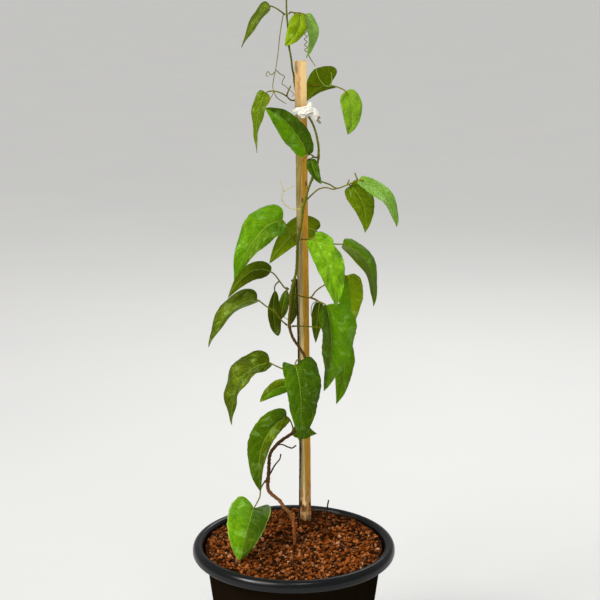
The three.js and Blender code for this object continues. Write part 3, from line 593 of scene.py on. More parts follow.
def add_handful(form, count):
    """Loose crumbs, each of its own size and shade, poured on together."""
    loose = bmesh.new()
    place = loose.verts.layers.float_vector.new("place")
    for _ in range(count):
        x, y = free_spot()
        size = 0.34 + 1.1 * chance.random() ** 3
        shade = chance.random()
        crumb = bmesh.ops.create_icosphere(loose, subdivisions=1, radius=size)["verts"]
        squash = Vector((chance.uniform(0.8, 1.5), chance.uniform(0.7, 1.2), chance.uniform(0.55, 1)))
        turn = Vector((chance.gauss(0, 0.4), chance.gauss(0, 0.4), 1)).to_track_quat("Z", "X")
        rest = Vector((x, y, soil_height(x, y) + 0.3 + 0.3 * size))
        for vert in crumb:
            vert[place] = (0.7 + 0.4 * vert.co.z / size, shade, 0)
            vert.co = rest + turn @ (vert.co * squash * chance.uniform(0.5, 1.4))
    pour(form, loose, "crumbs")


def add_fibres(form, count):
    """Short curled fibres that lie on the crumbs."""
    for _ in range(count):
        x, y = free_spot(SOIL_EDGE - 8)
        heading = chance.uniform(0, 2 * math.pi)
        reach = chance.uniform(2, 7)
        route = []
        for k in range(4):
            u, w = x + reach * k / 3 * math.cos(heading), y + reach * k / 3 * math.sin(heading)
            route.append((u, w, soil_height(u, w) + 0.9 + chance.uniform(-0.3, 0.7)))
            heading += chance.gauss(0, 0.5)
        add_rod(form, route, 0.13, (1, 1, 1, 1), around=3, spacing=1.5, slot=1)


for _ in range(CRUMBS // HANDFUL):
    add_handful(form, HANDFUL)
litter = Form("litter")
add_fibres(litter, FIBRES)
pour(form, litter.bm, "litter")
print("crumbs:", CRUMBS, "fibres:", FIBRES)

# %% [markdown]
# ### Coir
# The colour follows two things that each point remembers: how high it lies, since the gaps get
# painted shade, and which crumb it belongs to, since no two are alike. Painted shade also darkens
# the soil at the back and by the stub and the stake, and the white specks carry a painted glint.
# %% Soil: finishes
coir = Finish("coir compost")
spot = coir.millimetres()
x, y, _ = coir.parts(spot)
height, kind, _ = coir.parts(coir.remembered("place"))
speckle = coir.noise(spot, 1.1, detail=5, roughness=0.75)
crumb_colour = coir.ramp(
    kind * 0.8 + speckle * 0.8 - 0.26, (0.0, paint(50, 18, 1)), (0.3, paint(98, 44, 6)),
    (0.6, paint(142, 76, 22)), (0.84, paint(184, 116, 66)), (1.0, paint(222, 176, 136)))
patches = coir.noise(spot, 0.07, detail=3).above(0.36, 0.6)
shadowy = coir.mix(0.45, crumb_colour, coir.times(crumb_colour, (0.4, 0.36, 0.36)))
crumb_colour = coir.cover(shadowy, (patches, crumb_colour), (patches * 0.25, paint(176, 96, 44)))
# painted shade: the soil towards the back of the pot is made darker
shaded_far_side = coir.times(crumb_colour, (0.64, 0.58, 0.45))
crumb_colour = coir.times(coir.mix(y.above(0, 45), crumb_colour, shaded_far_side), (1.12, 1.1, 1.04))
by_stub = ((x - 0.6) ** 2 + (y - 7) ** 2) ** 0.5
by_stake = ((x - 8.8) ** 2 + (y - 40) ** 2) ** 0.5
# painted shade: the soil close to the stub and the stake is made darker
shade_by_stems = by_stub.above(13, 4) * 0.6 + by_stake.above(12, 5) * 0.5
# white specks, partly pale grains and partly a painted glint on them; they are less rough too
white_grain_and_glint = coir.cells(spot, 0.42).above(0.16, 0.1) * coir.noise(spot, 0.31).above(0.56, 0.6)
colour = coir.cover(
    crumb_colour,
    # painted shade in the gaps: the low points between the crumbs are made nearly black
    (height.above(0.4, -0.5) * 0.95, paint(20, 7, 1)),
    (shade_by_stems * (0.4 + speckle), paint(34, 15, 4)),
    (white_grain_and_glint * 0.8, paint(226, 214, 196)))
coir.surface(colour, 0.92 - white_grain_and_glint * 0.4, coir.relief(speckle, 1.0), Specular_IOR_Level=0.1,
             Specular_Tint=(1.0, 0.6, 0.3, 1))

fibre = Finish("coir fibre")
spot = fibre.millimetres()
colour = fibre.mix(fibre.noise(spot, 0.3), paint(96, 50, 24), paint(176, 120, 70))
fibre.surface(colour, 0.8, fibre.relief(fibre.noise(spot, 6), 0.05))
form.finish([coir.material, fibre.material], ["soil"], "soil", crease=75)

# %% [markdown]
# ## The stake
# The stake is split and roughly sawn from pale wood, a square rod of 6 mm with one corner to the
# front. Splitting leaves long grooves along the grain, small splinters on the corners, and a knot
# where a branch was. The front left side is grey and weathered, the front right side fresh and
# orange. The grid that is rolled up here has a square section, and each ring is worn a little.
# %% Stake: form
STAKE_FOOT = Vector((8.8, 42, 46))
STAKE_HEAD = Vector((4.4, 42, 430.7))
STAKE_LEAN = -4.4 / 384.7
STAKE_HALF = 5.7 / math.sqrt(2)
STAKE_SIDES = [(1, 0), (0, 1), (-1, 0), (0, -1)]
SIDE_STEPS = 9
STAKE_ROWS = 330
POINT_ROWS = 8
POINT_LENGTH = 12
KNOTS = [(-1, 0.1, 127.5, 1.8), (3, 0.55, 120.5, 1.6), (2, 0.8, 121, 2), (2, 0.55, 127, 1.4)]


def stake_spot(i, k):
    """A point of the stake's skin. Its place is (side of the rod, way across that side, height)."""
    side, step = divmod(i, SIDE_STEPS)
    across = step / SIDE_STEPS
    length = (STAKE_HEAD - STAKE_FOOT).length
    if k < POINT_ROWS:
        along = POINT_LENGTH * k / POINT_ROWS
    else:
        along = POINT_LENGTH + (length - POINT_LENGTH) * (k - POINT_ROWS) / (STAKE_ROWS - POINT_ROWS)
    centre = STAKE_FOOT.lerp(STAKE_HEAD, along / length)
    a, b = Vector(STAKE_SIDES[side]), Vector(STAKE_SIDES[(side + 1) % 4])
    spot = a.lerp(b, across) * STAKE_HALF
    outward = (a + b).normalized()
    corner = min(across, 1 - across)
    wear = 0.16 * max(0, 1 - corner / 0.12) + 0.12 * noise.noise(Vector((i * 3.1, 4, along / 16)))
    groove = 0.16 * abs(noise.noise(Vector((i * 0.9 + side * 7, 1.5, along / 42))))
    splinter = 0.32 * max(0, noise.noise(Vector((side * 5, 8, along / 5.5))) - 0.42) * (corner < 0.1)
    spot -= spot.normalized() * (wear + splinter * 4) + outward * groove
    for edge_side, reach, level, size in KNOTS:
        gone = ((centre.z - level) / size) ** 2 + ((across - reach) * 5) ** 2
        if side == edge_side % 4:
            spot += outward * 0.8 * math.exp(-gone)
    if k < POINT_ROWS:
        spot *= 0.12 + 0.88 * k / POINT_ROWS
    ragged = 0.9 * noise.noise(Vector((i * 1.7, 3, 3))) - 0.5 if k == STAKE_ROWS else 0
    return centre + Vector((spot.x, spot.y, ragged)), Vector((side, across, along)), (1, 1, 1, 1)


# %% [markdown]
# ### Split wood
# Wood grain is a noise drawn out along the rod, more than thirty times as long as it is wide. Each
# of the two front sides has its own colours, mixed by the direction that the surface faces.
# %% Stake: finish
wood = Finish("split wood")
spot = wood.millimetres()
x, _, z = wood.parts(spot)
facing = wood.parts(wood.node("ShaderNodeNewGeometry", output="Normal"))[0]
right_side, left_side = facing.above(-0.15, 0.15), facing.above(0.15, -0.15)
leftish = facing.above(0.2, -0.2)
from_axis = x - (z - 46) * STAKE_LEAN
grain = wood.noise(wood.stretch(spot, (1, 1, 0.022)), 2.6, detail=6, roughness=0.68, distortion=0.25)
fine_grain = wood.noise(wood.stretch(spot, (1, 1, 0.03)), 6.5, detail=3, roughness=0.6)
blotch = wood.noise(wood.stretch(spot, (1, 1, 0.25)), 0.11, detail=3)
marks = wood.noise(wood.stretch(spot, (1, 1, 0.4)), 0.5, detail=4, roughness=0.65)
soil_marks = wood.noise(wood.stretch(spot, (1, 1, 0.6)), 0.24, detail=4) * 2 - abs(z - 127) / 22
weathered = wood.ramp(
    grain * 1.1 + fine_grain * 0.4 - 0.25, (0.0, paint(56, 48, 22)), (0.34, paint(128, 114, 72)),
    (0.48, paint(186, 170, 120)), (0.66, paint(226, 212, 166)), (1.0, paint(244, 238, 206)))
fresh_wood = wood.ramp(
    grain * 1.0 + fine_grain * 0.35 - 0.17, (0.0, paint(116, 70, 4)), (0.34, paint(182, 122, 26)),
    (0.54, paint(224, 168, 62)), (0.8, paint(244, 204, 110)), (1.0, paint(250, 226, 160)))

# The head is the palest part, with painted light on its right side; the foot is scuffed and stained
upper = z.above(388, 410)
head_colour = wood.mix(right_side, paint(204, 170, 120), paint(255, 238, 196))
scuffs = wood.mix(marks.above(0.44, 0.56), paint(196, 112, 44), paint(255, 222, 172))
colour = wood.cover(wood.mix(right_side, weathered, fresh_wood), (upper * 0.85, head_colour))
# painted light: the right side of the head is made about a third lighter
colour = wood.mix(upper * right_side, colour, wood.times(colour, (1.3, 1.15, 0.95)))
colour = wood.times(wood.mix(z.above(150, 124) * 0.75, colour, scuffs), (1.12, 1.08, 0.96))

# Painted shade: the left side is darker in the middle, and a painted leaf shadow lies
# where a leaf hangs in front of it
leaf_shadow = left_side * z.above(330, 345) * z.above(380, 370)
colour = wood.mix(leaf_shadow, colour, wood.times(colour, (0.76, 0.74, 0.5)))
shaded = left_side * z.above(230, 330) * z.above(410, 396) * 0.75
colour = wood.mix(shaded, colour, wood.times(colour, (0.42, 0.4, 0.26)))

# Stains: rust and a smudge at the head, red-brown edges, knots, and soil at the foot; and the upper
# part is darker along its left edge
rust = marks.above(0.5, 0.6) * z.above(402, 410) * z.above(428, 420) * leftish
smudge = ((x - 2.1) / 1.1) ** 2 + ((z - 424.5) / 3.6) ** 2 + marks * 1.4
knots = wood.cells(wood.stretch(spot, (1, 1, 0.5)), 0.14).above(0.16, 0.08)
colour = wood.cover(
    colour,
    (rust * 0.6, paint(182, 98, 62)),
    ((grain * 0.6 + blotch * 0.6).above(0.66, 0.8) * 0.45, paint(120, 78, 34)),
    (smudge.above(1.7, 0.8) * 0.6, paint(92, 80, 68)),
    (from_axis.above(5.35, 4.95) * z.above(416, 380) * 0.85, paint(52, 40, 26)),
    (from_axis.above(12.2, 12.75) * blotch.above(0.4, 0.6) * 0.45, paint(150, 92, 44)),
    (knots * 0.7, paint(70, 42, 22)),
    (soil_marks.above(0.84, 1.0) * 0.9, paint(88, 40, 12)),
    (z.above(122, 115) * 0.75, paint(84, 42, 16)))
wood.surface(colour, 0.74 + grain * 0.12, wood.relief(grain * 0.6 + fine_grain * 0.4, 0.6),
             Specular_IOR_Level=0.25, Specular_Tint=(1.0, 0.9, 0.5, 1))

form = Form("split_stake")
form.roll(4 * SIDE_STEPS, STAKE_ROWS, stake_spot)
form.finish([wood.material], ["stake"], "stake_wood", crease=50)

# %% [markdown]
# ## The tie
# The vine is held by a strip torn from a white plastic bag, wound round stake and stem and knotted
# at the front right. Thin film under tension bunches up into cords with sharp little folds, and
# springs open again past the knot. So three crumpled turns go round, and puckered folds lie over
# each other in front: a high one that stands up, two across, and a stained end that hangs out to
# the right. The folds are noise that runs along the strip.
# %% Tie: form
CRUMPLE = 0.42
STRIP_SIDES = 26


def film(form, route, width, thick, seed, flare=0.0):
    """A strip of film that follows a route and is pleated along it; flare widens its free end."""
    line, length = bend_through(route, 0.5)
    sides = rings(line)
    last = len(line) - 1

    def spot(i, k):
        share = k / last
        across, over = sides[k]
        angle = 2 * math.pi * i / STRIP_SIDES
        size = width * (1 + flare * share ** 1.5) / 2
        fold = noise.noise(Vector((math.cos(angle) * 2.2 + seed, share * length * 0.28, seed)))
        pleat = abs(noise.noise(Vector((math.cos(angle) * 5 + seed * 2, share * length * 0.16, 3 + seed))))
        out = math.cos(angle) * size * (1 + CRUMPLE * 0.5 * fold)
        up = (math.sin(angle) * thick / 2 + CRUMPLE * size * (fold * 0.8 + pleat - 0.25)
              * (1 - 0.4 * math.cos(angle) ** 2))
        if k == 0:
            out, up = out * 0.2, up * 0.2
        return line[k] + across * up + over * out, Vector((share * length, share, fold)), (1, 1, 1, 1)

    form.roll(STRIP_SIDES, last, spot)


TIE_MIDDLE = Vector((5.4, 43.6, 398.4))
TIE_REACH = (5.3, 6.6)
form = Form("plastic_tie")
for turn, (level, grown) in enumerate([(-1.1, 0.35), (0.1, 0.7), (1.1, 0.4)]):
    route = []
    for k in range(19):
        angle = math.radians(-48 + 20 * k)
        lift = level + 0.9 * math.cos(angle) + 0.4 * math.sin(2.3 * angle + turn)
        route.append(TIE_MIDDLE + Vector(((TIE_REACH[0] + grown) * math.cos(angle),
                                          (TIE_REACH[1] + grown) * math.sin(angle), lift)))
    film(form, route, 1.9, 0.5, seed=1.7 + turn)
LOOSE = [
    ([(0.2, 36.6, 398.6), (4.4, 35.4, 399.2), (8.6, 34.6, 399.8), (12.4, 34.8, 399)], 4.2, 0.15, 1.6),
    ([(2.8, 35.6, 397), (7, 34.6, 396.6), (10.4, 34.2, 397.2), (13.6, 35, 396)], 4.0, 0.1, 1.8),
    ([(8.8, 34.6, 398.4), (9.8, 34, 400.8), (10.6, 33.6, 402.6), (11.2, 33.4, 404.4)], 4.6, -0.5, 1.0),
    ([(10, 34.2, 399.6), (12.8, 33.4, 399), (14.6, 33.6, 396.6), (15.6, 34.2, 393.8)], 4.2, -0.1, 1.2),
    ([(11.6, 34.6, 397.6), (13.8, 34, 395.2), (15.6, 33.6, 393), (17.4, 33.4, 391)], 2.8, -0.4, 0.7),
    ([(8.4, 34.6, 396.6), (6.4, 34.2, 395.2), (4.6, 34.6, 394.8)], 2.8, -0.5, 0.7),
    ([(7.2, 34, 397), (9, 32.6, 398.8), (10.8, 32.5, 399.8), (12.6, 33.6, 399.2)], 3.2, 0.1, 1.0),
]
for number, (path, width, flare, thick) in enumerate(LOOSE):
    film(form, path, width, thick, seed=8.3 + 2.1 * number, flare=flare)

# %% [markdown]
# ### White film
# Thin white film lets light into itself, which softens its shadows; a little subsurface scattering
# does that. A few soil stains keep it from looking new.
# %% Tie: finish
white = Finish("white plastic film")
spot = white.millimetres()
x, _, z = white.parts(spot)
creases_and_shade = white.noise(spot, 1.6, detail=5, roughness=0.6)
stains = white.noise(spot, 0.55, detail=4).above(0.56, 0.72)
frayed_end = (x - (z - 392) * 0.5).above(13.2, 14.6) * z.above(397, 395)
low_fold = z.above(397, 395.4) * x.above(12, 10) * creases_and_shade.above(0.35, 0.6)
# partly painted shade: the white film is made greyer where the crease noise is low
colour = white.cover(
    white.mix(creases_and_shade.above(0.35, 0.55), paint(222, 220, 212), paint(254, 250, 236)),
    (stains * 0.3, paint(176, 148, 118)),
    (frayed_end * 0.85 + low_fold * 0.6, paint(104, 88, 44)))
white.surface(colour, 0.34 + creases_and_shade * 0.2, white.relief(creases_and_shade, 0.35),
              Subsurface_Weight=0.25, Subsurface_Radius=(1, 1, 1), Subsurface_Scale=0.001)
form.finish([white.material], ["tie"], "tie_plastic", crease=70)

# %% [markdown]
# ## The stems
# The main stem leaves a short old stub in the soil, bends to the left, and climbs the stake in
# loose waves. Its foot is woody, dark and knobbly; higher up it is green and smooth. Wherever a
# leaf leaves it there is a node, a slight thickening. A thin second stem climbs behind the stake,
# a bare twig forks off low down, and a dead twig stands in the soil.
# The rods remember their distance from the foot, and their tint changes with height.
# %% Stems: bark and green skin
BARK = paint(92, 62, 28)
OLD_STUB = paint(186, 108, 56)
YOUNG_BARK = paint(146, 98, 48)
GREEN_SKIN = paint(108, 118, 10)
STEM_SIZES = [(120, 1.25), (190, 1.1), (250, 0.95), (330, 0.8), (420, 0.65), (484, 0.45)]
NODES_UP = [157, 188, 227, 232, 257, 279, 285, 314, 335, 341, 355, 369, 405, 417, 440, 459, 481]


def between(low, high, value):
    """0 up to low, 1 from high on, smooth between."""
    share = min(1, max(0, (value - low) / (high - low)))
    return share * share * (3 - 2 * share)


def blend(a, b, share):
    return tuple(p + (q - p) * share for p, q in zip(a, b))


def stem_radius(distance, share, point):
    """Woody at the foot, thin above, with a thickening at each node."""
    size = STEM_SIZES[0][1]
    for (low, thick), (high, thin) in zip(STEM_SIZES, STEM_SIZES[1:]):
        if point.z > low:
            size = thick + (thin - thick) * min(1, (point.z - low) / (high - low))
    swelling = sum(math.exp(-((point.z - level) / 1.6) ** 2) for level in NODES_UP)
    return size * (1 + 0.3 * min(1, swelling))


def stem_tint(distance, share, point):
    woody_part = blend(YOUNG_BARK, BARK, between(142, 172, point.z))
    return blend(woody_part, GREEN_SKIN, between(236, 300, point.z))


bark = Finish("bark and green stem")
spot = bark.millimetres()
own = bark.remembered("tint", "Color")
ridges = bark.noise(bark.stretch(spot, (1, 1, 0.35)), 2.2, detail=5, roughness=0.65)
flakes = bark.cells(bark.stretch(spot, (1, 1, 0.6)), 1.1)
woody = bark.parts(spot)[2].above(290, 235)
colour = bark.cover(
    bark.mix(ridges.above(0.3, 0.7), bark.times(own, (0.45, 0.42, 0.4)), own),
    (flakes.above(0.4, 0.8) * woody * 0.4, paint(120, 92, 60)),
    (ridges.above(0.6, 0.8) * (1 - woody) * 0.35, paint(136, 140, 44)))
relief = bark.relief((ridges * 0.7 + flakes * 0.3) * (0.25 + woody * 0.75), 0.5)
bark.surface(colour, 0.55 + woody * 0.3, relief, Specular_IOR_Level=0.2,
             Specular_Tint=(1.0, 0.95, 0.5, 1))

# %% Stems: form
MAIN_STEM = [
    (-0.6, 2.6, 131), (-2.4, 3, 135.7), (-5.9, 3.5, 139.1), (-9.8, 5, 144.5), (-14, 6, 147.6),
    (-16.8, 7, 150.7), (-17.4, 8, 155.3), (-16.9, 9, 159.9), (-16.5, 11, 166.8), (-15.9, 14, 172.8),
    (-12.6, 17, 177.7), (-6.3, 20, 182.3), (0.8, 23, 186.8), (4.1, 24, 197.4), (5.4, 25, 211.1),
    (6.4, 27, 224.4), (7.4, 30, 235.3), (3.2, 32, 242.7), (-0.8, 31, 249.3), (-2.7, 30.5, 255.8),
    (-3.1, 30.5, 261.5), (-2.3, 30.5, 270.3), (-1.8, 30.5, 279.6), (0.3, 31, 288.3), (1.6, 33, 293.2),
    (2.3, 34.5, 307), (2.5, 35, 311.9), (3.2, 35, 316.1), (5.3, 34.5, 327.3), (6.1, 34, 335.8),
    (7.4, 34, 340.4), (9.6, 34, 348.6), (11.6, 34, 354), (13.5, 34.5, 358.7), (15, 35, 362.3),
    (16, 35.5, 368.7), (16.1, 35.5, 375.2), (15.3, 36.4, 380.4), (14, 38.4, 385.6), (11.8, 43, 390.8),
    (8, 47.6, 396.1), (4.1, 48.8, 401.9), (1.8, 48.4, 407.7), (0.8, 47.4, 413.7), (0.3, 45.8, 419),
    (-0.2, 43.6, 422.2), (-0.8, 41.4, 424.8), (-1.1, 39.8, 427.6), (-1.7, 38, 432.9), (-3, 38, 439.8),
    (-3.5, 38, 449.5), (-4.3, 38, 459), (-4.5, 38, 468.6), (-3.8, 38, 476), (-1.9, 38, 483.5),
]
STUB = [(0.6, 2, 84.4), (0.6, 2, 112), (0.2, 2.2, 124.4), (-0.4, 2.7, 131), (-0.1, 3, 136.5)]
BARE_TWIG = [(-16.9, 9, 159.9), (-15.4, 9, 162.2), (-12.5, 8, 167.9), (-9.3, 8, 172.1), (-8.5, 9, 175.5)]
LOW_TENDRIL = [(-13, 16.7, 177.2), (-9.9, 16, 179.3), (-7.4, 15, 179.7), (-3.9, 14, 178.4),
               (-1.2, 14, 177.7), (1.8, 15, 179.3)]


def stub_radius(distance, share, point):
    """Thinner towards the top, with a swelling where the stem leaves it."""
    return 1.15 * (1.1 - 0.3 * share) * (1 + 0.25 * math.exp(-((point.z - 131) / 2.5) ** 2))


def twig_radius(distance, share, point):
    """A little bud close to the end."""
    return 0.6 - 0.2 * share + 0.16 * math.exp(-((share - 0.98) / 0.05) ** 2)


def back_radius(distance, share, point):
    """A thickening every 48 mm."""
    return 0.58 * (1 + 0.2 * math.exp(-((point.z % 48 - 24) / 2) ** 2))


def dead_radius(distance, share, point):
    """Thinner towards the top, with one old node."""
    return 0.6 * (1.05 - 0.2 * share) + 0.12 * math.exp(-((point.z - 121) / 1.2) ** 2)


form = Form("climbing_stem")
add_rod(form, MAIN_STEM, stem_radius, stem_tint, around=12, spacing=0.6, lumps=0.34)
add_rod(form, STUB, stub_radius, OLD_STUB, around=14, spacing=0.6, lumps=0.45)
add_rod(form, BARE_TWIG, twig_radius, paint(58, 50, 42), lumps=0.3, spacing=0.5)
add_rod(form, LOW_TENDRIL, 0.46, paint(44, 34, 22), lumps=0.4, spacing=0.5)
form.finish([bark.material], ["main_stem"], "bark", crease=80)

BACK_STEM = [
    (3.9, 39.4, 84.4), (3.9, 39.4, 112), (3.9, 39.4, 127), (4.1, 39.5, 152.7), (4.2, 39.5, 174),
    (3.8, 39.6, 202.6), (3.2, 39.8, 230.6), (2.6, 40.2, 258.5), (2, 40.2, 279.2), (1.8, 38.8, 287.6),
]
DEAD_TWIG = [(22, 45, 92), (22, 45, 112), (22.4, 45, 119), (23.1, 45, 124), (24, 45.4, 129)]
form = Form("thin_back_stem")
add_rod(form, BACK_STEM, back_radius, paint(44, 32, 20), spacing=0.8, lumps=0.3)
form.finish([bark.material], ["back_stem"], "bark", crease=80)
form = Form("dead_twig")
add_rod(form, DEAD_TWIG, dead_radius, paint(50, 42, 36), lumps=0.35, spacing=0.5)
form.finish([bark.material], ["soil_twig"], "bark", crease=80)

# %% [markdown]
# ## The leaves
# Each leaf is a stalk with two or three leaflets, and often a tendril where the end leaflet would
# be. A leaflet is egg-shaped with a heart-shaped base and a drawn-out tip. Its midrib hangs in a
# bow, the two halves fold up from it like a half-open book, the margins droop and ripple, and
# between its side veins the blade is slightly quilted. Those few words are also the values that
# shape it: where the midrib starts, passes and ends, how wide each half is, and how much it is
# rolled, folded, drooped and rippled. Thirty-one leaflets modelled one by one by hand would differ
# less than these sets of values do.
# %% Leaves: the side veins, shared by form and finish
SIDE_VEINS = 7.0
VEIN_SWEEP = 0.3


def vein_wave(t, v, right):
    """0 on a side vein, 1 half-way between two."""
    phase = SIDE_VEINS * (t - VEIN_SWEEP * v ** 1.35) + (0.5 if right else 0)
    return 0.5 - 0.5 * math.cos(2 * math.pi * phase)


GREENS = {
    "deep": paint(46, 80, 2), "pine": paint(66, 108, 3), "dark": paint(66, 98, 3),
    "mid": paint(82, 122, 4), "grass": paint(82, 134, 3), "bright": paint(96, 148, 4),
    "fresh": paint(116, 166, 20), "sea": paint(116, 160, 60), "haze": paint(152, 192, 92),
    "pear": paint(136, 176, 40), "lime": paint(136, 160, 8), "moss": paint(94, 114, 3),
    "olive": paint(82, 102, 4), "dusky": paint(68, 80, 3),
}
PALE_UNDER = paint(138, 150, 66)
CLEAR_GREEN = paint(100, 152, 16)
BLADE_THICKNESS = 0.34
ROW_BUNCHING = 0.13
BAY_LENGTH = 0.07
LOBE_CREST = 0.1


# %% Leaves: one blade
def fullness(t, spread, taper):
    """Half-width of a blade from base (0) to tip (1), as a share of its widest."""
    widest = spread / (spread + taper)
    return (t ** spread * (1 - t) ** taper) / (widest ** spread * (1 - widest) ** taper)


def add_blade(form, base, mid, tip, left, right, greens, roll=(0, 0), fold=12, droop=0.2, wave=0.8,
              waves=2, phase=0, lobe=0.05, lobe_right=None, spread=0.42, taper=1, crinkle=0.3,
              bays=(), edge=None):
    """One leaflet, a tube pressed flat round its midrib. left and right are as seen from the front."""
    start, through, end = Vector(base), Vector(mid), Vector(tip)
    control = 2 * through - (start + end) / 2
    length = (through - start).length + (end - through).length
    widest = max(left, right)
    rows = max(24, round(length / 0.9))
    half = 13 if widest > 9 else 10
    seed = start.x * 1.3 + start.z * 0.7
    shown = [GREENS[name] for name in greens]
    under_shown = abs(roll[0]) > 90

    def spot(i, k):
        step, under = (i - half, 0) if i <= 2 * half else (3 * half - i, 1)
        v = math.sin(math.pi / 2 * abs(step) / half)
        hand = 1 if step > 0 else -1
        t = min(1, max(0, k / rows - ROW_BUNCHING * math.sin(2 * math.pi * k / rows)))
        centre = start * (1 - t) ** 2 + control * (2 * t * (1 - t)) + end * t ** 2
        along = ((control - start) * (1 - t) + (end - control) * t).normalized()
        face = Vector((0, -1, 0))
        face = (face - along * face.dot(along)).normalized()
        turn = math.radians(roll[0] + (roll[1] - roll[0]) * t)
        side = face.cross(along)
        face, side = (face * math.cos(turn) + side * math.sin(turn),
                      side * math.cos(turn) - face * math.sin(turn))
        row_width = max(0.12, (right if step > 0 else left) * fullness(t, spread, taper))
        for bay_hand, level, depth in bays:
            if bay_hand == hand:
                row_width *= 1 - depth * math.exp(-((t - level) / BAY_LENGTH) ** 2)
        out = row_width * v
        lift = math.radians(fold) * (1 - 0.5 * t)
        ripple = wave * math.sin(2 * math.pi * waves * t + phase + (1.7 if step > 0 else 0))
        rise = out * math.sin(lift) - droop * out ** 2 / widest
        rise += ripple * v ** 2 * min(1, row_width / (0.35 * widest))
        room = min(1, row_width / 4) * v ** 0.5 * (1 - v ** 3)
        rise += room * crinkle * (1.1 * vein_wave(t, v, step > 0)
                                  + 2.2 * noise.noise(Vector((hand * out / 5.5, t * length / 5.5, seed)))
                                  + 0.9 * noise.noise(Vector((hand * out / 2.2, t * length / 2.6, seed))))
        rise -= 0.16 * math.exp(-(out / 0.9) ** 2)
        margin = 0.12 * noise.noise(Vector((hand * 3, t * length / 2.4, seed + 5)))
        reach = length * (lobe_right if lobe_right and step > 0 else lobe)
        crest = t / LOBE_CREST
        back = reach * v ** 1.3 * math.sqrt(crest) * math.exp((1 - crest) / 2)
        sideways = hand * out * math.cos(lift) * (1 + margin * v ** 4 * 0.5)
        point = centre + side * sideways + face * rise - along * back
        thick = BLADE_THICKNESS / 2 * math.sqrt(max(0, 1 - v ** 6))
        rib = (0.42 - 0.3 * t) * math.exp(-(out / 0.42) ** 2)
        behind = -thick - rib if under else thick
        point = point + face * behind
        # partly painted light and shade: a leaflet's two greens hold how lit each half is, so a half turned
        # to the light gets the lighter green and one turned away the darker
        shade = blend(shown[0], shown[1], between(-0.12, 0.12, hand * v))
        if edge and v > 0.96:
            shade = GREENS[edge]
        if under and not under_shown:
            shade = blend(shade, PALE_UNDER, 0.3)
        if under_shown and not under:
            shade = blend(shade, CLEAR_GREEN, 0.6)
        return point, Vector((hand * out, t * length, under)), shade, Vector((hand * v, t, seed))

    form.roll(4 * half, rows, spot)


# %% [markdown]
# ### A living leaf
# What makes a leaf look alive is the difference between its parts: a pale midrib, side veins that
# run out and bend towards the tip, a fine net between them, blotches of lighter and darker green,
# a waxy gloss above and a dull, paler underside. Part of this is painted light: the mottle gives
# patches of painted shade and painted sheen, the blade between the side veins gets painted shade,
# and pale patches of painted sheen add to the gloss. The veins are worked out from the place on
# the leaf: a wave that repeats seven times between base and tip, sheared so that it sweeps forward.
# Light also passes into the thin blade, so it gets a little subsurface scattering.
# %% Leaves: finish of the blades
blade = Finish("leaf blade")
across, _, under = blade.parts(blade.remembered("place"))
v_hand, t, _ = blade.parts(blade.remembered("share"))
own = blade.remembered("tint", "Color")
spot = blade.millimetres()
v = abs(v_hand)
wobble = blade.noise(spot, 0.22, detail=2) * 0.09 - 0.045
right_half = v_hand.above(-0.001, 0.001)
wave = (t + wobble - (v ** 1.35) * VEIN_SWEEP) * SIDE_VEINS + right_half * 0.5
near = abs(blade.node("ShaderNodeMath", {"operation": "PINGPONG"}, {0: wave, 1: 0.5}))
side_width = 0.052 - v * 0.034
side_veins = (1 - (near / side_width).above(0.35, 1.0)) * v.above(1.0, 0.72) * t.above(0.97, 0.8)
rib_width = 0.42 - t * 0.3
midrib = 1 - (abs(across) / rib_width).above(0.35, 1.0)
place_on_blade = blade.stretch(blade.remembered("place"), (1, 1, 0))
net = blade.cells(place_on_blade, 0.75, "DISTANCE_TO_EDGE").above(0.13, 0.02)
veins = midrib + side_veins * (1 - midrib)
blotch = blade.noise(spot, 0.17, detail=3, roughness=0.6)
mottle_and_painted_light = blade.noise(spot, 0.6, detail=3, roughness=0.6)
quilt_shade = near.above(0.1, 0.4) * (1 - under)
pale = blade.mix(under, paint(138, 178, 40), paint(160, 172, 70))
# painted sheen: pale patches on the upper side stand in for gloss highlights; they are a little smoother
# too
painted_sheen = blade.noise(spot, 0.15, detail=3, distortion=0.6).above(0.54, 0.68) * (1 - under)
painted_sheen = painted_sheen * v.above(1.0, 0.7) * (1 - veins * 0.6)
sheen_green = blade.mix(0.45, blade.times(own, (1.7, 1.5, 2.0)), paint(150, 196, 112))
freckle = blade.cells(spot, 0.11).above(0.075, 0.04) * blotch.above(0.5, 0.6)
colour = blade.mix(blotch.above(0.3, 0.7), blade.times(own, (0.66, 0.72, 0.66)),
                   blade.times(own, (1.06, 1.04, 1.0)))
colour = blade.cover(
    colour,
    # painted shade and painted sheen: low mottle patches are made darker, high ones much lighter
    (mottle_and_painted_light.above(0.47, 0.3) * 0.7, blade.times(own, (0.46, 0.56, 0.5))),
    (mottle_and_painted_light.above(0.55, 0.72) * 0.5, blade.times(own, (1.6, 1.4, 1.6))),
    # painted shade of the quilting: the blade is darker between the side veins
    (quilt_shade * 0.5, blade.times(own, (0.5, 0.64, 0.5))),
    (net * 0.1, paint(130, 165, 30)),
    (side_veins * 0.34 + midrib * 0.2, pale),
    (midrib * 0.5, paint(164, 196, 76)),
    (v.above(0.955, 1.0) * 0.3, paint(46, 60, 6)),
    (painted_sheen * 0.46, sheen_green),
    (freckle * 0.7, paint(176, 162, 64)))
roughness = 0.25 + under * 0.34 + mottle_and_painted_light * 0.14 - veins * 0.03 - painted_sheen * 0.06
height = (1 - veins) * 0.6 + mottle_and_painted_light * 0.25 + (1 - net) * 0.15
raised = veins * 0.7 + net * 0.2 + mottle_and_painted_light * 0.1
height = height * (1 - under) + raised * under
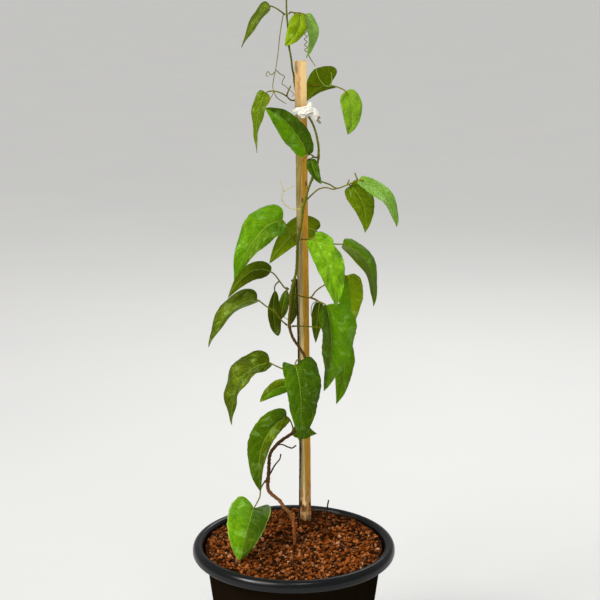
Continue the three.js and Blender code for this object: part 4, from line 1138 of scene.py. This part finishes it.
blade.surface(
    colour, roughness, blade.relief(height, 0.7), Specular_IOR_Level=0.45,
    Specular_Tint=(0.75, 1.0, 0.05, 1), Subsurface_Weight=0.1, Subsurface_Radius=(0.6, 1.0, 0.1),
    Subsurface_Scale=0.001)

# %% [markdown]
# ### Stalks and tendrils
# Stalks are olive, redder towards the stem, with a fine groove along them. Each has a thickening at
# both ends, where the real plant turns its leaf to the light. Tendrils are the same skin, thinner.
# %% Leaves: finish of the stalks
stalk = Finish("leaf stalk")
spot = stalk.millimetres()
own = stalk.remembered("tint", "Color")
streak = stalk.noise(stalk.stretch(spot, (1, 1, 0.4)), 1.3, detail=4, roughness=0.6)
shaded = stalk.times(own, (0.55, 0.55, 0.45))
colour = stalk.mix(streak.above(0.35, 0.65), shaded, own)
colour = stalk.mix(streak.above(0.62, 0.8) * 0.35, colour, paint(160, 154, 40))
stalk.surface(colour, 0.5 + streak * 0.15, stalk.relief(streak, 0.15),
              Specular_IOR_Level=0.2, Specular_Tint=(1.0, 0.95, 0.4, 1))

STALK = paint(128, 126, 8)
STALK_FOOT = paint(104, 88, 8)
TENDRIL = paint(128, 120, 20)
TENDRIL_TINTS = {"leaf_pair_behind": paint(170, 206, 84), "tendril_left": paint(206, 198, 120)}


# %% Leaves: stalks, tendrils and whole leaves
def stalk_radius(distance, share, point):
    """Slim in the middle, thicker at both ends."""
    ends = 0.2 * math.exp(-((1 - share) / 0.05) ** 2) + 0.22 * math.exp(-(share / 0.06) ** 2)
    return 0.52 - 0.08 * share + ends


def stalk_tint(distance, share, point):
    return blend(STALK_FOOT, STALK, between(0, 0.6, share))


def tendril_radius(distance, share, point):
    return 0.32 - 0.1 * share


def coil_route(start, end, radius, turns):
    """A helix about the straight line from start to end, as a route."""
    start, end = Vector(start), Vector(end)
    steps = turns * 10
    return [start.lerp(end, i / steps) + Vector((radius * math.cos(2 * math.pi * turns * i / steps),
                                                 radius * math.sin(2 * math.pi * turns * i / steps), 0))
            for i in range(steps + 1)]


def grow(node, stalks=(), branches=(), blades=(), climbers=(), tendrils=(), coils=()):
    """Makes one whole leaf in place of its plain part."""
    form = Form(node.replace("leaf_", "foliage_") if node.startswith("leaf_") else node + "_curl")
    for values in blades:
        add_blade(form, **values)
    for route in (*stalks, *branches):
        add_rod(form, route, stalk_radius, stalk_tint, around=9, spacing=0.55, lumps=0.16, slot=1)
    tint = TENDRIL_TINTS.get(node, TENDRIL)
    for route in (*climbers, *tendrils):
        add_rod(form, route, tendril_radius, tint, around=6, spacing=0.5, lumps=0.15, slot=1)
    for start, end, radius, turns in coils:
        add_rod(form, coil_route(start, end, radius, turns), 0.26, tint, around=6, spacing=0.35, slot=1)
    form.finish([blade.material, stalk.material], [node],
                "leaf" if blades else "tendril", crease=180)


# %% [markdown]
# ## Leaf by leaf
# The routes and values below are those of the plain parts, in millimetres. They start at the pot.
# The lowest leaflet hangs over the soil and shows its upper side; the folded one has turned its
# right half up, which catches the light; the one at the left is wrinkled from growing cramped.
# %% The lowest leaves
grow("leaf_lowest",
     stalks=[
         [(-18.6, 8, 157.4), (-21.8, 6, 152.5), (-22.4, 1.5, 148.4), (-24.4, -1.6, 144.8),
          (-27, -4.6, 141.4)]],
     blades=[
         dict(base=(-26.6, -3.6, 142.2), mid=(-29.9, -19, 134.9), tip=(-34.9, -34, 118.4), left=15,
              right=12, greens=("bright", "deep"), roll=(-5, -5), fold=10, wave=1, waves=2.5, phase=1,
              lobe=0.14, lobe_right=0.34, spread=0.34, taper=0.68, crinkle=0.5, edge="haze")])
grow("leaf_folded",
     stalks=[
         [(-0.4, 20.8, 188.8), (-1.5, 17, 193.8), (-2.8, 14, 197.6), (-4.7, 12, 200.1), (-7, 10.6, 200)]],
     blades=[
         dict(base=(-4.7, 12, 200.1), mid=(-20.5, 3, 183.6), tip=(-21.9, 1, 151.8), left=11.3,
              right=6.5, greens=("dark", "dusky"), roll=(-12, -12), fold=30, wave=1, waves=2.5,
              taper=0.85)])
grow("leaf_small_behind",
     stalks=[
         [(1.8, 24.9, 187.6), (1.6, 27, 187.2), (0.4, 30, 187), (2.6, 29.8, 185.8)]],
     blades=[
         dict(base=(0.4, 30, 187), mid=(6.8, 28.4, 184.1), tip=(15.6, 31, 182), left=6, right=6,
              greens=("mid", "mid"), crinkle=0.4)])
grow("leaf_low_left",
     stalks=[
         [(4.4, 26, 226.6), (-0.5, 25, 227.7), (-7.4, 24, 229.6), (-11.8, 24, 231.5), (-16.1, 24, 233.7),
          (-19, 22.6, 234.2)]],
     branches=[
         [(-0.5, 25, 227.7), (-0.9, 23, 223.5), (-2.5, 20, 218.9), (-5, 18.8, 219.2)]],
     blades=[
         dict(base=(-16.1, 24, 233.7), mid=(-35.3, 14, 224.1), tip=(-41, 10, 195.1), left=12.3, right=7,
              greens=("dusky", "dusky"), roll=(-45, -45), fold=20, wave=1.3, waves=3, taper=0.85,
              lobe=0.04, crinkle=0.85),
         dict(base=(-2.5, 20, 218.9), mid=(-12.1, 16, 218), tip=(-22.3, 14, 209.7), left=5.2, right=5,
              greens=("moss", "mid"), roll=(-10, -10), wave=0.6, taper=0.75, crinkle=0.4)])

# %% [markdown]
# The large dark leaflet in front hides the stem. The arched one at the left is seen along its edge,
# so its midrib lies almost on its upper outline.
# %% Leaves round the lower stake
grow("leaf_large_front",
     stalks=[
         [(6.2, 25.6, 231.4), (5.4, 21, 235), (3.4, 14, 238.8), (1.8, 8, 239.5), (0.9, 4, 237.8),
          (1.6, 2, 234)]],
     blades=[
         dict(base=(0.9, 4, 237.8), mid=(4.6, -6, 218.7), tip=(3.8, -8, 189.2), left=10.6, right=15.6,
              greens=("pine", "deep"), roll=(25, 15), wave=1.3, waves=2.5, lobe=0.1, lobe_right=0.12,
              spread=0.32, taper=0.85, crinkle=0.35, bays=[(-1, 0.27, 0.12)])])
grow("leaf_arched_left",
     stalks=[
         [(-4.2, 29.8, 257.6), (-8.5, 29, 261.8), (-12.4, 28, 267.3), (-18.4, 27, 271.7),
          (-24.1, 26, 276.2), (-27, 24.6, 277)]],
     blades=[
         dict(base=(-24.1, 26, 276.2), mid=(-41.5, 18, 269.6), tip=(-55.8, 14, 247.3), left=10.3,
              right=7, greens=("dusky", "dusky"), roll=(-58, -58), fold=30, droop=0.15, wave=0.7,
              taper=0.85, crinkle=0.4)])
grow("leaf_tall_right",
     stalks=[
         [(-1.5, 31.8, 256.6), (3.8, 35, 256), (9.4, 35.6, 255.5), (14.4, 34.6, 255.3), (22.1, 35.4, 254),
          (30.2, 38, 251.8), (30.9, 37.7, 249)]],
     blades=[
         dict(base=(30.2, 38, 251.8), mid=(34, 36, 226.6), tip=(28.4, 32, 202.4), left=8, right=7,
              greens=("mid", "mid"), roll=(10, 10), phase=1, taper=0.9)])

# %% [markdown]
# Here the leaves are old and crowded. Several hang upside down or edge on, so they show dull
# undersides, and the glossy one in front is twice as wide on its lit side, whose light is painted:
# that half gets a bright green and the other half a dark one.
# %% Threes in the middle
grow("leaf_three_left",
     stalks=[
         [(-2.9, 30.2, 282.2), (-5.8, 29, 283.4), (-8.4, 29, 286.7), (-10.8, 29, 290.1), (-13, 30, 292.6),
          (-15.3, 30, 294.1), (-18, 29, 295)]],
     branches=[
         [(-9.3, 29, 288), (-11.8, 33, 285), (-12.8, 38, 281), (-12.6, 40, 277)],
         [(-5.1, 29, 283.2), (-4.4, 38, 281.4), (-4.6, 44, 278.5), (-5, 44.4, 276)]],
     blades=[
         dict(base=(-15.3, 30, 294.1), mid=(-28.8, 24, 294.9), tip=(-42.9, 20, 278.7), left=6.5,
              right=5.4, greens=("dusky", "olive"), roll=(170, 165), wave=0.7, taper=0.85, lobe=0.03,
              crinkle=0.5),
         dict(base=(-12.5, 40, 278.8), mid=(-13.6, 38, 262.8), tip=(-10.4, 38, 248.4), left=4,
              right=5.5, greens=("dusky", "dusky"), roll=(20, 20), wave=0.5, lobe=0.02, spread=0.7,
              taper=0.65),
         dict(base=(-4.6, 44, 278.5), mid=(-7.3, 46, 267.7), tip=(-9.4, 46, 257.3), left=3.5, right=4.2,
              greens=("olive", "olive"), roll=(-20, -20), wave=0.5, lobe=0.02, spread=0.7, taper=0.7)],
     tendrils=[
         [(-4.9, 44.2, 277.2), (-2.8, 42.6, 270), (-6.4, 42, 266), (-7.3, 42, 261.4), (-4, 42.2, 258.4)]])
grow("leaf_behind_stake",
     stalks=[
         [(-1.2, 32.4, 287.4), (-1, 38, 286.6), (-0.2, 44, 285.6), (1.6, 48, 283.8), (1.2, 48.8, 280.6)]],
     blades=[
         dict(base=(1.6, 48.4, 283.8), mid=(0.2, 50, 268.8), tip=(-2.5, 49, 253.1), left=3, right=4,
              greens=("dusky", "dusky"), roll=(-10, -10), wave=0.5, lobe=0.02, spread=0.7, taper=0.7)])
grow("leaf_three_right",
     stalks=[
         [(-0.6, 31.6, 279.2), (4.2, 35, 276.5), (10.9, 35.5, 275.4), (14.7, 38, 279.2),
          (18.7, 39, 282.1), (22.4, 40, 283.7), (28.8, 43, 286.3), (34.8, 46, 287.7), (35.4, 46.2, 284)]],
     branches=[
         [(10.9, 35.5, 275.4), (16, 32, 273.8), (21, 26, 272.4), (22, 25, 269)],
         [(10.9, 35.5, 275.4), (14.7, 37, 273.7), (17.2, 38, 271), (17, 38.6, 267.6)]],
     blades=[
         dict(base=(34.8, 46, 287.7), mid=(38.3, 46, 271.8), tip=(37.7, 42, 250), left=10, right=9,
              greens=("bright", "lime"), fold=10, lobe=0.035, crinkle=0.5),
         dict(base=(21, 26, 272.4), mid=(24.8, 18, 247.5), tip=(19.9, 16, 216.6), left=10, right=19.5,
              greens=("dark", "bright"), roll=(38, 32), fold=20, droop=0.15, wave=1.3, waves=2.5,
              phase=2, lobe=0.015, taper=0.95, crinkle=0.6),
         dict(base=(17.2, 38, 271), mid=(15.9, 40, 258.8), tip=(14.6, 40, 243.1), left=3.5, right=4.5,
              greens=("olive", "dusky"), roll=(180, 170), fold=15, wave=0.6, taper=0.8, lobe=0.02)],
     tendrils=[
         [(16.8, 37.8, 272.9), (12.4, 36.4, 270.6), (11.6, 36, 263.5), (13.2, 36.6, 258.6)]])

# %% [markdown]
# Two leaves in full light: the broad bright one at the left, and the crinkled one before the stake.
# %% Leaves above the middle
grow("leaf_bright_left",
     stalks=[
         [(1.1, 33.6, 313.4), (-0.7, 31, 316.8), (-3.7, 28, 323), (-7.2, 26, 328.9), (-10.4, 24.6, 328.6)]],
     blades=[
         dict(base=(-7.2, 26, 328.9), mid=(-23.8, 18, 320.1), tip=(-38.5, 12, 291.9), left=14.2,
              right=11, greens=("grass", "pine"), roll=(-35, -20), fold=15, wave=1.3, waves=2.5,
              phase=1, crinkle=0.45)])
grow("leaf_three_middle",
     stalks=[
         [(4.2, 33.8, 315), (7, 33.8, 315), (10.7, 33, 315.4), (13.2, 26, 316.7), (14.6, 24, 313.4)]],
     branches=[
         [(10.7, 33, 315.4), (15.9, 33, 315), (21.2, 35, 313.3), (27.1, 36, 311.4), (32.4, 36, 311.2),
          (35.2, 36, 309.9)],
         [(10.7, 33, 315.4), (13, 39, 315.2), (15.4, 47, 315.7), (14.8, 54, 316.7), (12, 55.2, 316.2)]],
     blades=[
         dict(base=(13.2, 26, 316.7), mid=(22.8, 14, 300.1), tip=(27.3, 8, 276.3), left=8, right=11.2,
              greens=("fresh", "fresh"), roll=(5, 5), droop=0.25, wave=2.1, waves=3.5, taper=0.8,
              lobe=0.07, crinkle=1, bays=[(1, 0.3, 0.2)]),
         dict(base=(32.4, 36, 311.2), mid=(48.9, 34, 297.7), tip=(52.8, 30, 270.7), left=8, right=8,
              greens=("olive", "mid"), roll=(50, 50), fold=15, wave=0.7, taper=0.85, lobe=0.04,
              crinkle=0.25),
         dict(base=(14.8, 54, 316.7), mid=(1.4, 58, 314.9), tip=(-16.4, 56, 294.1), left=8.5, right=9.5,
              greens=("moss", "olive"), roll=(190, 170), fold=10, taper=0.8, crinkle=0.25)])

# %% [markdown]
# The stem leans out to the right and comes back under the tie. A bare tendril loops out at the left.
# %% Leaves at the bend of the stem
grow("leaf_pair_right",
     stalks=[
         [(13.6, 33.2, 355.6), (18, 32, 353.5), (23.4, 32, 351.5), (27.9, 32, 349.1), (33.9, 32, 351),
          (38.8, 31, 353.2), (42.3, 30, 354.8), (45.4, 28, 354.8)],
         [(8.4, 33.2, 341.4), (11.6, 32, 344.7), (16.4, 32, 348.6), (21, 32, 349.5), (26, 32, 348.4),
          (28.6, 32, 349.3)]],
     branches=[
         [(35.6, 31.6, 351.7), (36.9, 34, 350.3), (38.2, 33.8, 347.8)],
         [(34.6, 32, 350.9), (36.1, 32, 355)],
         [(41.6, 30.4, 354), (39.5, 32, 359.5)]],
     blades=[
         dict(base=(36.9, 34, 350.3), mid=(45.3, 30, 337.8), tip=(46.4, 28, 320.3), left=8, right=8.8,
              greens=("moss", "moss"), roll=(10, 0), fold=15, phase=1, lobe=0.06),
         dict(base=(42.3, 30, 354.8), mid=(59.2, 18, 345.7), tip=(65.6, 7, 328.4), left=7, right=6,
              greens=("sea", "sea"), roll=(45, 45), fold=15, droop=0.15, wave=0.6, taper=0.8, lobe=0.02,
              crinkle=0.2)])
grow("tendril_left",
     climbers=[
         [(4.9, 32.6, 335.2), (1.2, 32.6, 335.3), (-2.2, 33, 335.7), (-5.7, 33, 338.1), (-7.9, 33, 342.1),
          (-6.9, 33, 347.1), (-9.1, 33, 354.3)]],
     tendrils=[
         [(-7.2, 33, 346.4), (-3.1, 34, 348.9), (0.2, 36.6, 350.1)]])
grow("leaf_pair_knee",
     stalks=[
         [(14.8, 34.4, 368.9), (13.7, 32, 369.2), (11.2, 29, 371.5), (8.9, 26, 372.2), (7.2, 24.4, 375)]],
     branches=[
         [(13.7, 32, 369.2), (12.2, 31, 369.4), (11.5, 30, 368.5), (11.6, 29.6, 366)]],
     blades=[
         dict(base=(8.9, 26, 372.2), mid=(-2.9, 18, 391.7), tip=(-17.9, 14, 402.9), left=8, right=9.3,
              greens=("deep", "bright"), roll=(10, 0), fold=14, wave=1.3, waves=2.5, taper=0.85,
              lobe=0.03, crinkle=0.5),
         dict(base=(11.5, 30, 368.5), mid=(12.9, 27, 361.8), tip=(17.9, 26, 352.8), left=4, right=4.3,
              greens=("deep", "dark"), roll=(20, 20), fold=15, wave=0.6, taper=0.8, lobe=0.02)],
     tendrils=[
         [(10.6, 28.4, 371.8), (7.3, 27, 369.5), (4.1, 28, 364.9)]])

# %% [markdown]
# The leaflet behind the stake shows its underside, with pale veins and two rounded lobes.
# %% Leaves round the stake's head
grow("leaf_upper_left",
     stalks=[
         [(1.6, 48, 404.6), (-0.6, 44, 404.6), (-2.4, 40, 405.6), (-4.6, 36.6, 408.1), (-8.1, 35, 410.3),
          (-12.6, 34.5, 411.6), (-15.8, 34, 411.4), (-17.8, 34, 410.6), (-19.4, 33.6, 408)]],
     branches=[
         [(-4.6, 36.6, 408.1), (-2.9, 35.8, 412.7), (-1.6, 35.6, 415)]],
     blades=[
         dict(base=(-17.8, 34, 410.6), mid=(-23.2, 32, 395.3), tip=(-23.8, 30, 372.5), left=6.2,
              right=7, greens=("moss", "moss"), roll=(-40, -45), fold=20, wave=0.7, waves=2.5, phase=1,
              lobe=0.02, taper=1.35, crinkle=0.35)])
grow("leaf_pair_behind",
     stalks=[
         [(1.4, 48.2, 414), (2.6, 50, 414.4), (4, 51.4, 414.6), (13, 54.4, 413.4), (22.6, 56, 412.9),
          (26.2, 56, 412.9), (30.1, 55, 411.7), (34.2, 54, 409.5), (35.6, 53.6, 406.4)]],
     blades=[
         dict(base=(23.7, 56, 413.8), mid=(16.2, 55, 411.4), tip=(8.4, 54, 403), left=4, right=13,
              greens=("moss", "moss"), roll=(192, 184), fold=10, lobe=0.3),
         dict(base=(34.2, 54, 409.5), mid=(38.3, 52, 396.9), tip=(35.4, 50, 381.8), left=7.2, right=7.2,
              greens=("pear", "pear"), roll=(10, 10), fold=15, droop=0.25, wave=0.6, phase=2,
              taper=0.75, lobe=0.03, crinkle=0.9)],
     tendrils=[
         [(24.1, 55.6, 412.6), (20.4, 53, 413.5), (16.8, 52, 417.8), (15.2, 52, 421.6), (14.5, 52, 424.9)],
         [(24.1, 55.6, 412.6), (24.9, 54, 416.9), (24.3, 53.5, 422.2)]])

# %% [markdown]
# Above the stake's head only young leaves are left. They are smaller, thinner and yellower, and
# their tendrils wind round whatever they touch. The last two stand above the photographer's picture.
# %% The top of the vine
grow("leaf_top_left",
     stalks=[
         [(-5.3, 37.6, 459.4), (-8, 37, 461.5), (-10.8, 36.5, 463.4), (-14.9, 36, 465),
          (-17.4, 35.4, 463.6)]],
     blades=[
         dict(base=(-14.9, 36, 465), mid=(-22.5, 34, 457), tip=(-33.1, 30, 439.5), left=6.5, right=7,
              greens=("dusky", "dusky"), roll=(-58, -52), fold=30, wave=0.5, lobe=0.02)],
     tendrils=[
         [(-6.4, 37.4, 460.1), (-7.4, 36, 455), (-8.9, 34, 445.1), (-9.9, 32, 435.4), (-11.6, 31, 424.6),
          (-12.8, 30.6, 418.9), (-13.3, 30, 414.8), (-12.8, 29, 411.9), (-14.4, 27, 408.1),
          (-17.8, 25, 403.7)],
         [(-11.4, 31, 425.4), (-8.4, 32, 422.6), (-5.8, 32.4, 421), (-6.9, 32.4, 418.6),
          (-7.4, 32.2, 416.4), (-5.2, 32.2, 414.9), (-3.1, 32.4, 412.8), (-1.2, 32.6, 411.3),
          (0.3, 32.8, 409.6), (-1.2, 32.8, 408.2)],
         [(-11.7, 31, 424.2), (-14.4, 32, 422), (-16.3, 32.4, 424.2), (-17.6, 32, 421.8),
          (-15.8, 31.6, 420.9)],
         [(-13, 29.2, 412.6), (-10.6, 28, 408.1), (-4.5, 28, 404)]])
grow("leaf_top_right",
     stalks=[
         [(-3.1, 38.2, 459.6), (-2.1, 39, 461), (0.3, 39.5, 460.5), (4.1, 40, 459.2), (4.3, 39, 456)]],
     branches=[
         [(0.3, 39.5, 460.5), (4.1, 42, 460.3), (7.6, 42, 459.1), (9.4, 42, 456)],
         [(4.8, 42.2, 460.2), (6.6, 45.4, 459.2), (8.2, 46.8, 457), (8.6, 46.8, 455)]],
     blades=[
         dict(base=(4.1, 40, 459.2), mid=(2.8, 34, 450.1), tip=(-5.4, 30, 440.3), left=7.5, right=5,
              greens=("lime", "lime"), roll=(20, -10), fold=20, droop=0.4, wave=0.9, phase=1,
              spread=0.5, taper=0.75, crinkle=0.7),
         dict(base=(7.6, 42, 459.1), mid=(12.4, 42, 447.2), tip=(8, 44, 431.5), left=4.5, right=4.5,
              greens=("haze", "haze"), roll=(35, 20), fold=20, wave=0.6, lobe=0.03)],
     tendrils=[
         [(8.9, 46.8, 435.4), (10.4, 46, 432), (12.8, 45.4, 428.4), (14.2, 45, 426.2)]],
     coils=[((7.6, 46.8, 455.6), (8, 46.8, 435), 0.9, 6)])
grow("leaf_tip",
     stalks=[
         [(-1.2, 37.4, 480.6), (1.4, 36.4, 482.4), (3.6, 35.6, 484.4)]],
     branches=[
         [(0.4, 36.6, 481.6), (-0.2, 35.2, 482.4), (-1.6, 33.6, 484.2)]],
     blades=[
         dict(base=(2.8, 35.8, 483.6), mid=(6.6, 34.2, 486.6), tip=(9.6, 32.6, 484.4), left=2.6,
              right=2.6, greens=("lime", "lime"), roll=(20, 20), fold=25, wave=0.3, lobe=0.02,
              crinkle=0.15),
         dict(base=(-1.3, 34.2, 483.4), mid=(-4, 31.4, 486.8), tip=(-8.6, 29.6, 486.4), left=2.8,
              right=2.8, greens=("lime", "fresh"), roll=(-20, -20), fold=25, wave=0.3, lobe=0.02,
              crinkle=0.15)])

# %% [markdown]
# ## The end
# The last call brings the scene up to date.
# %% End
bpy.context.view_layer.update()
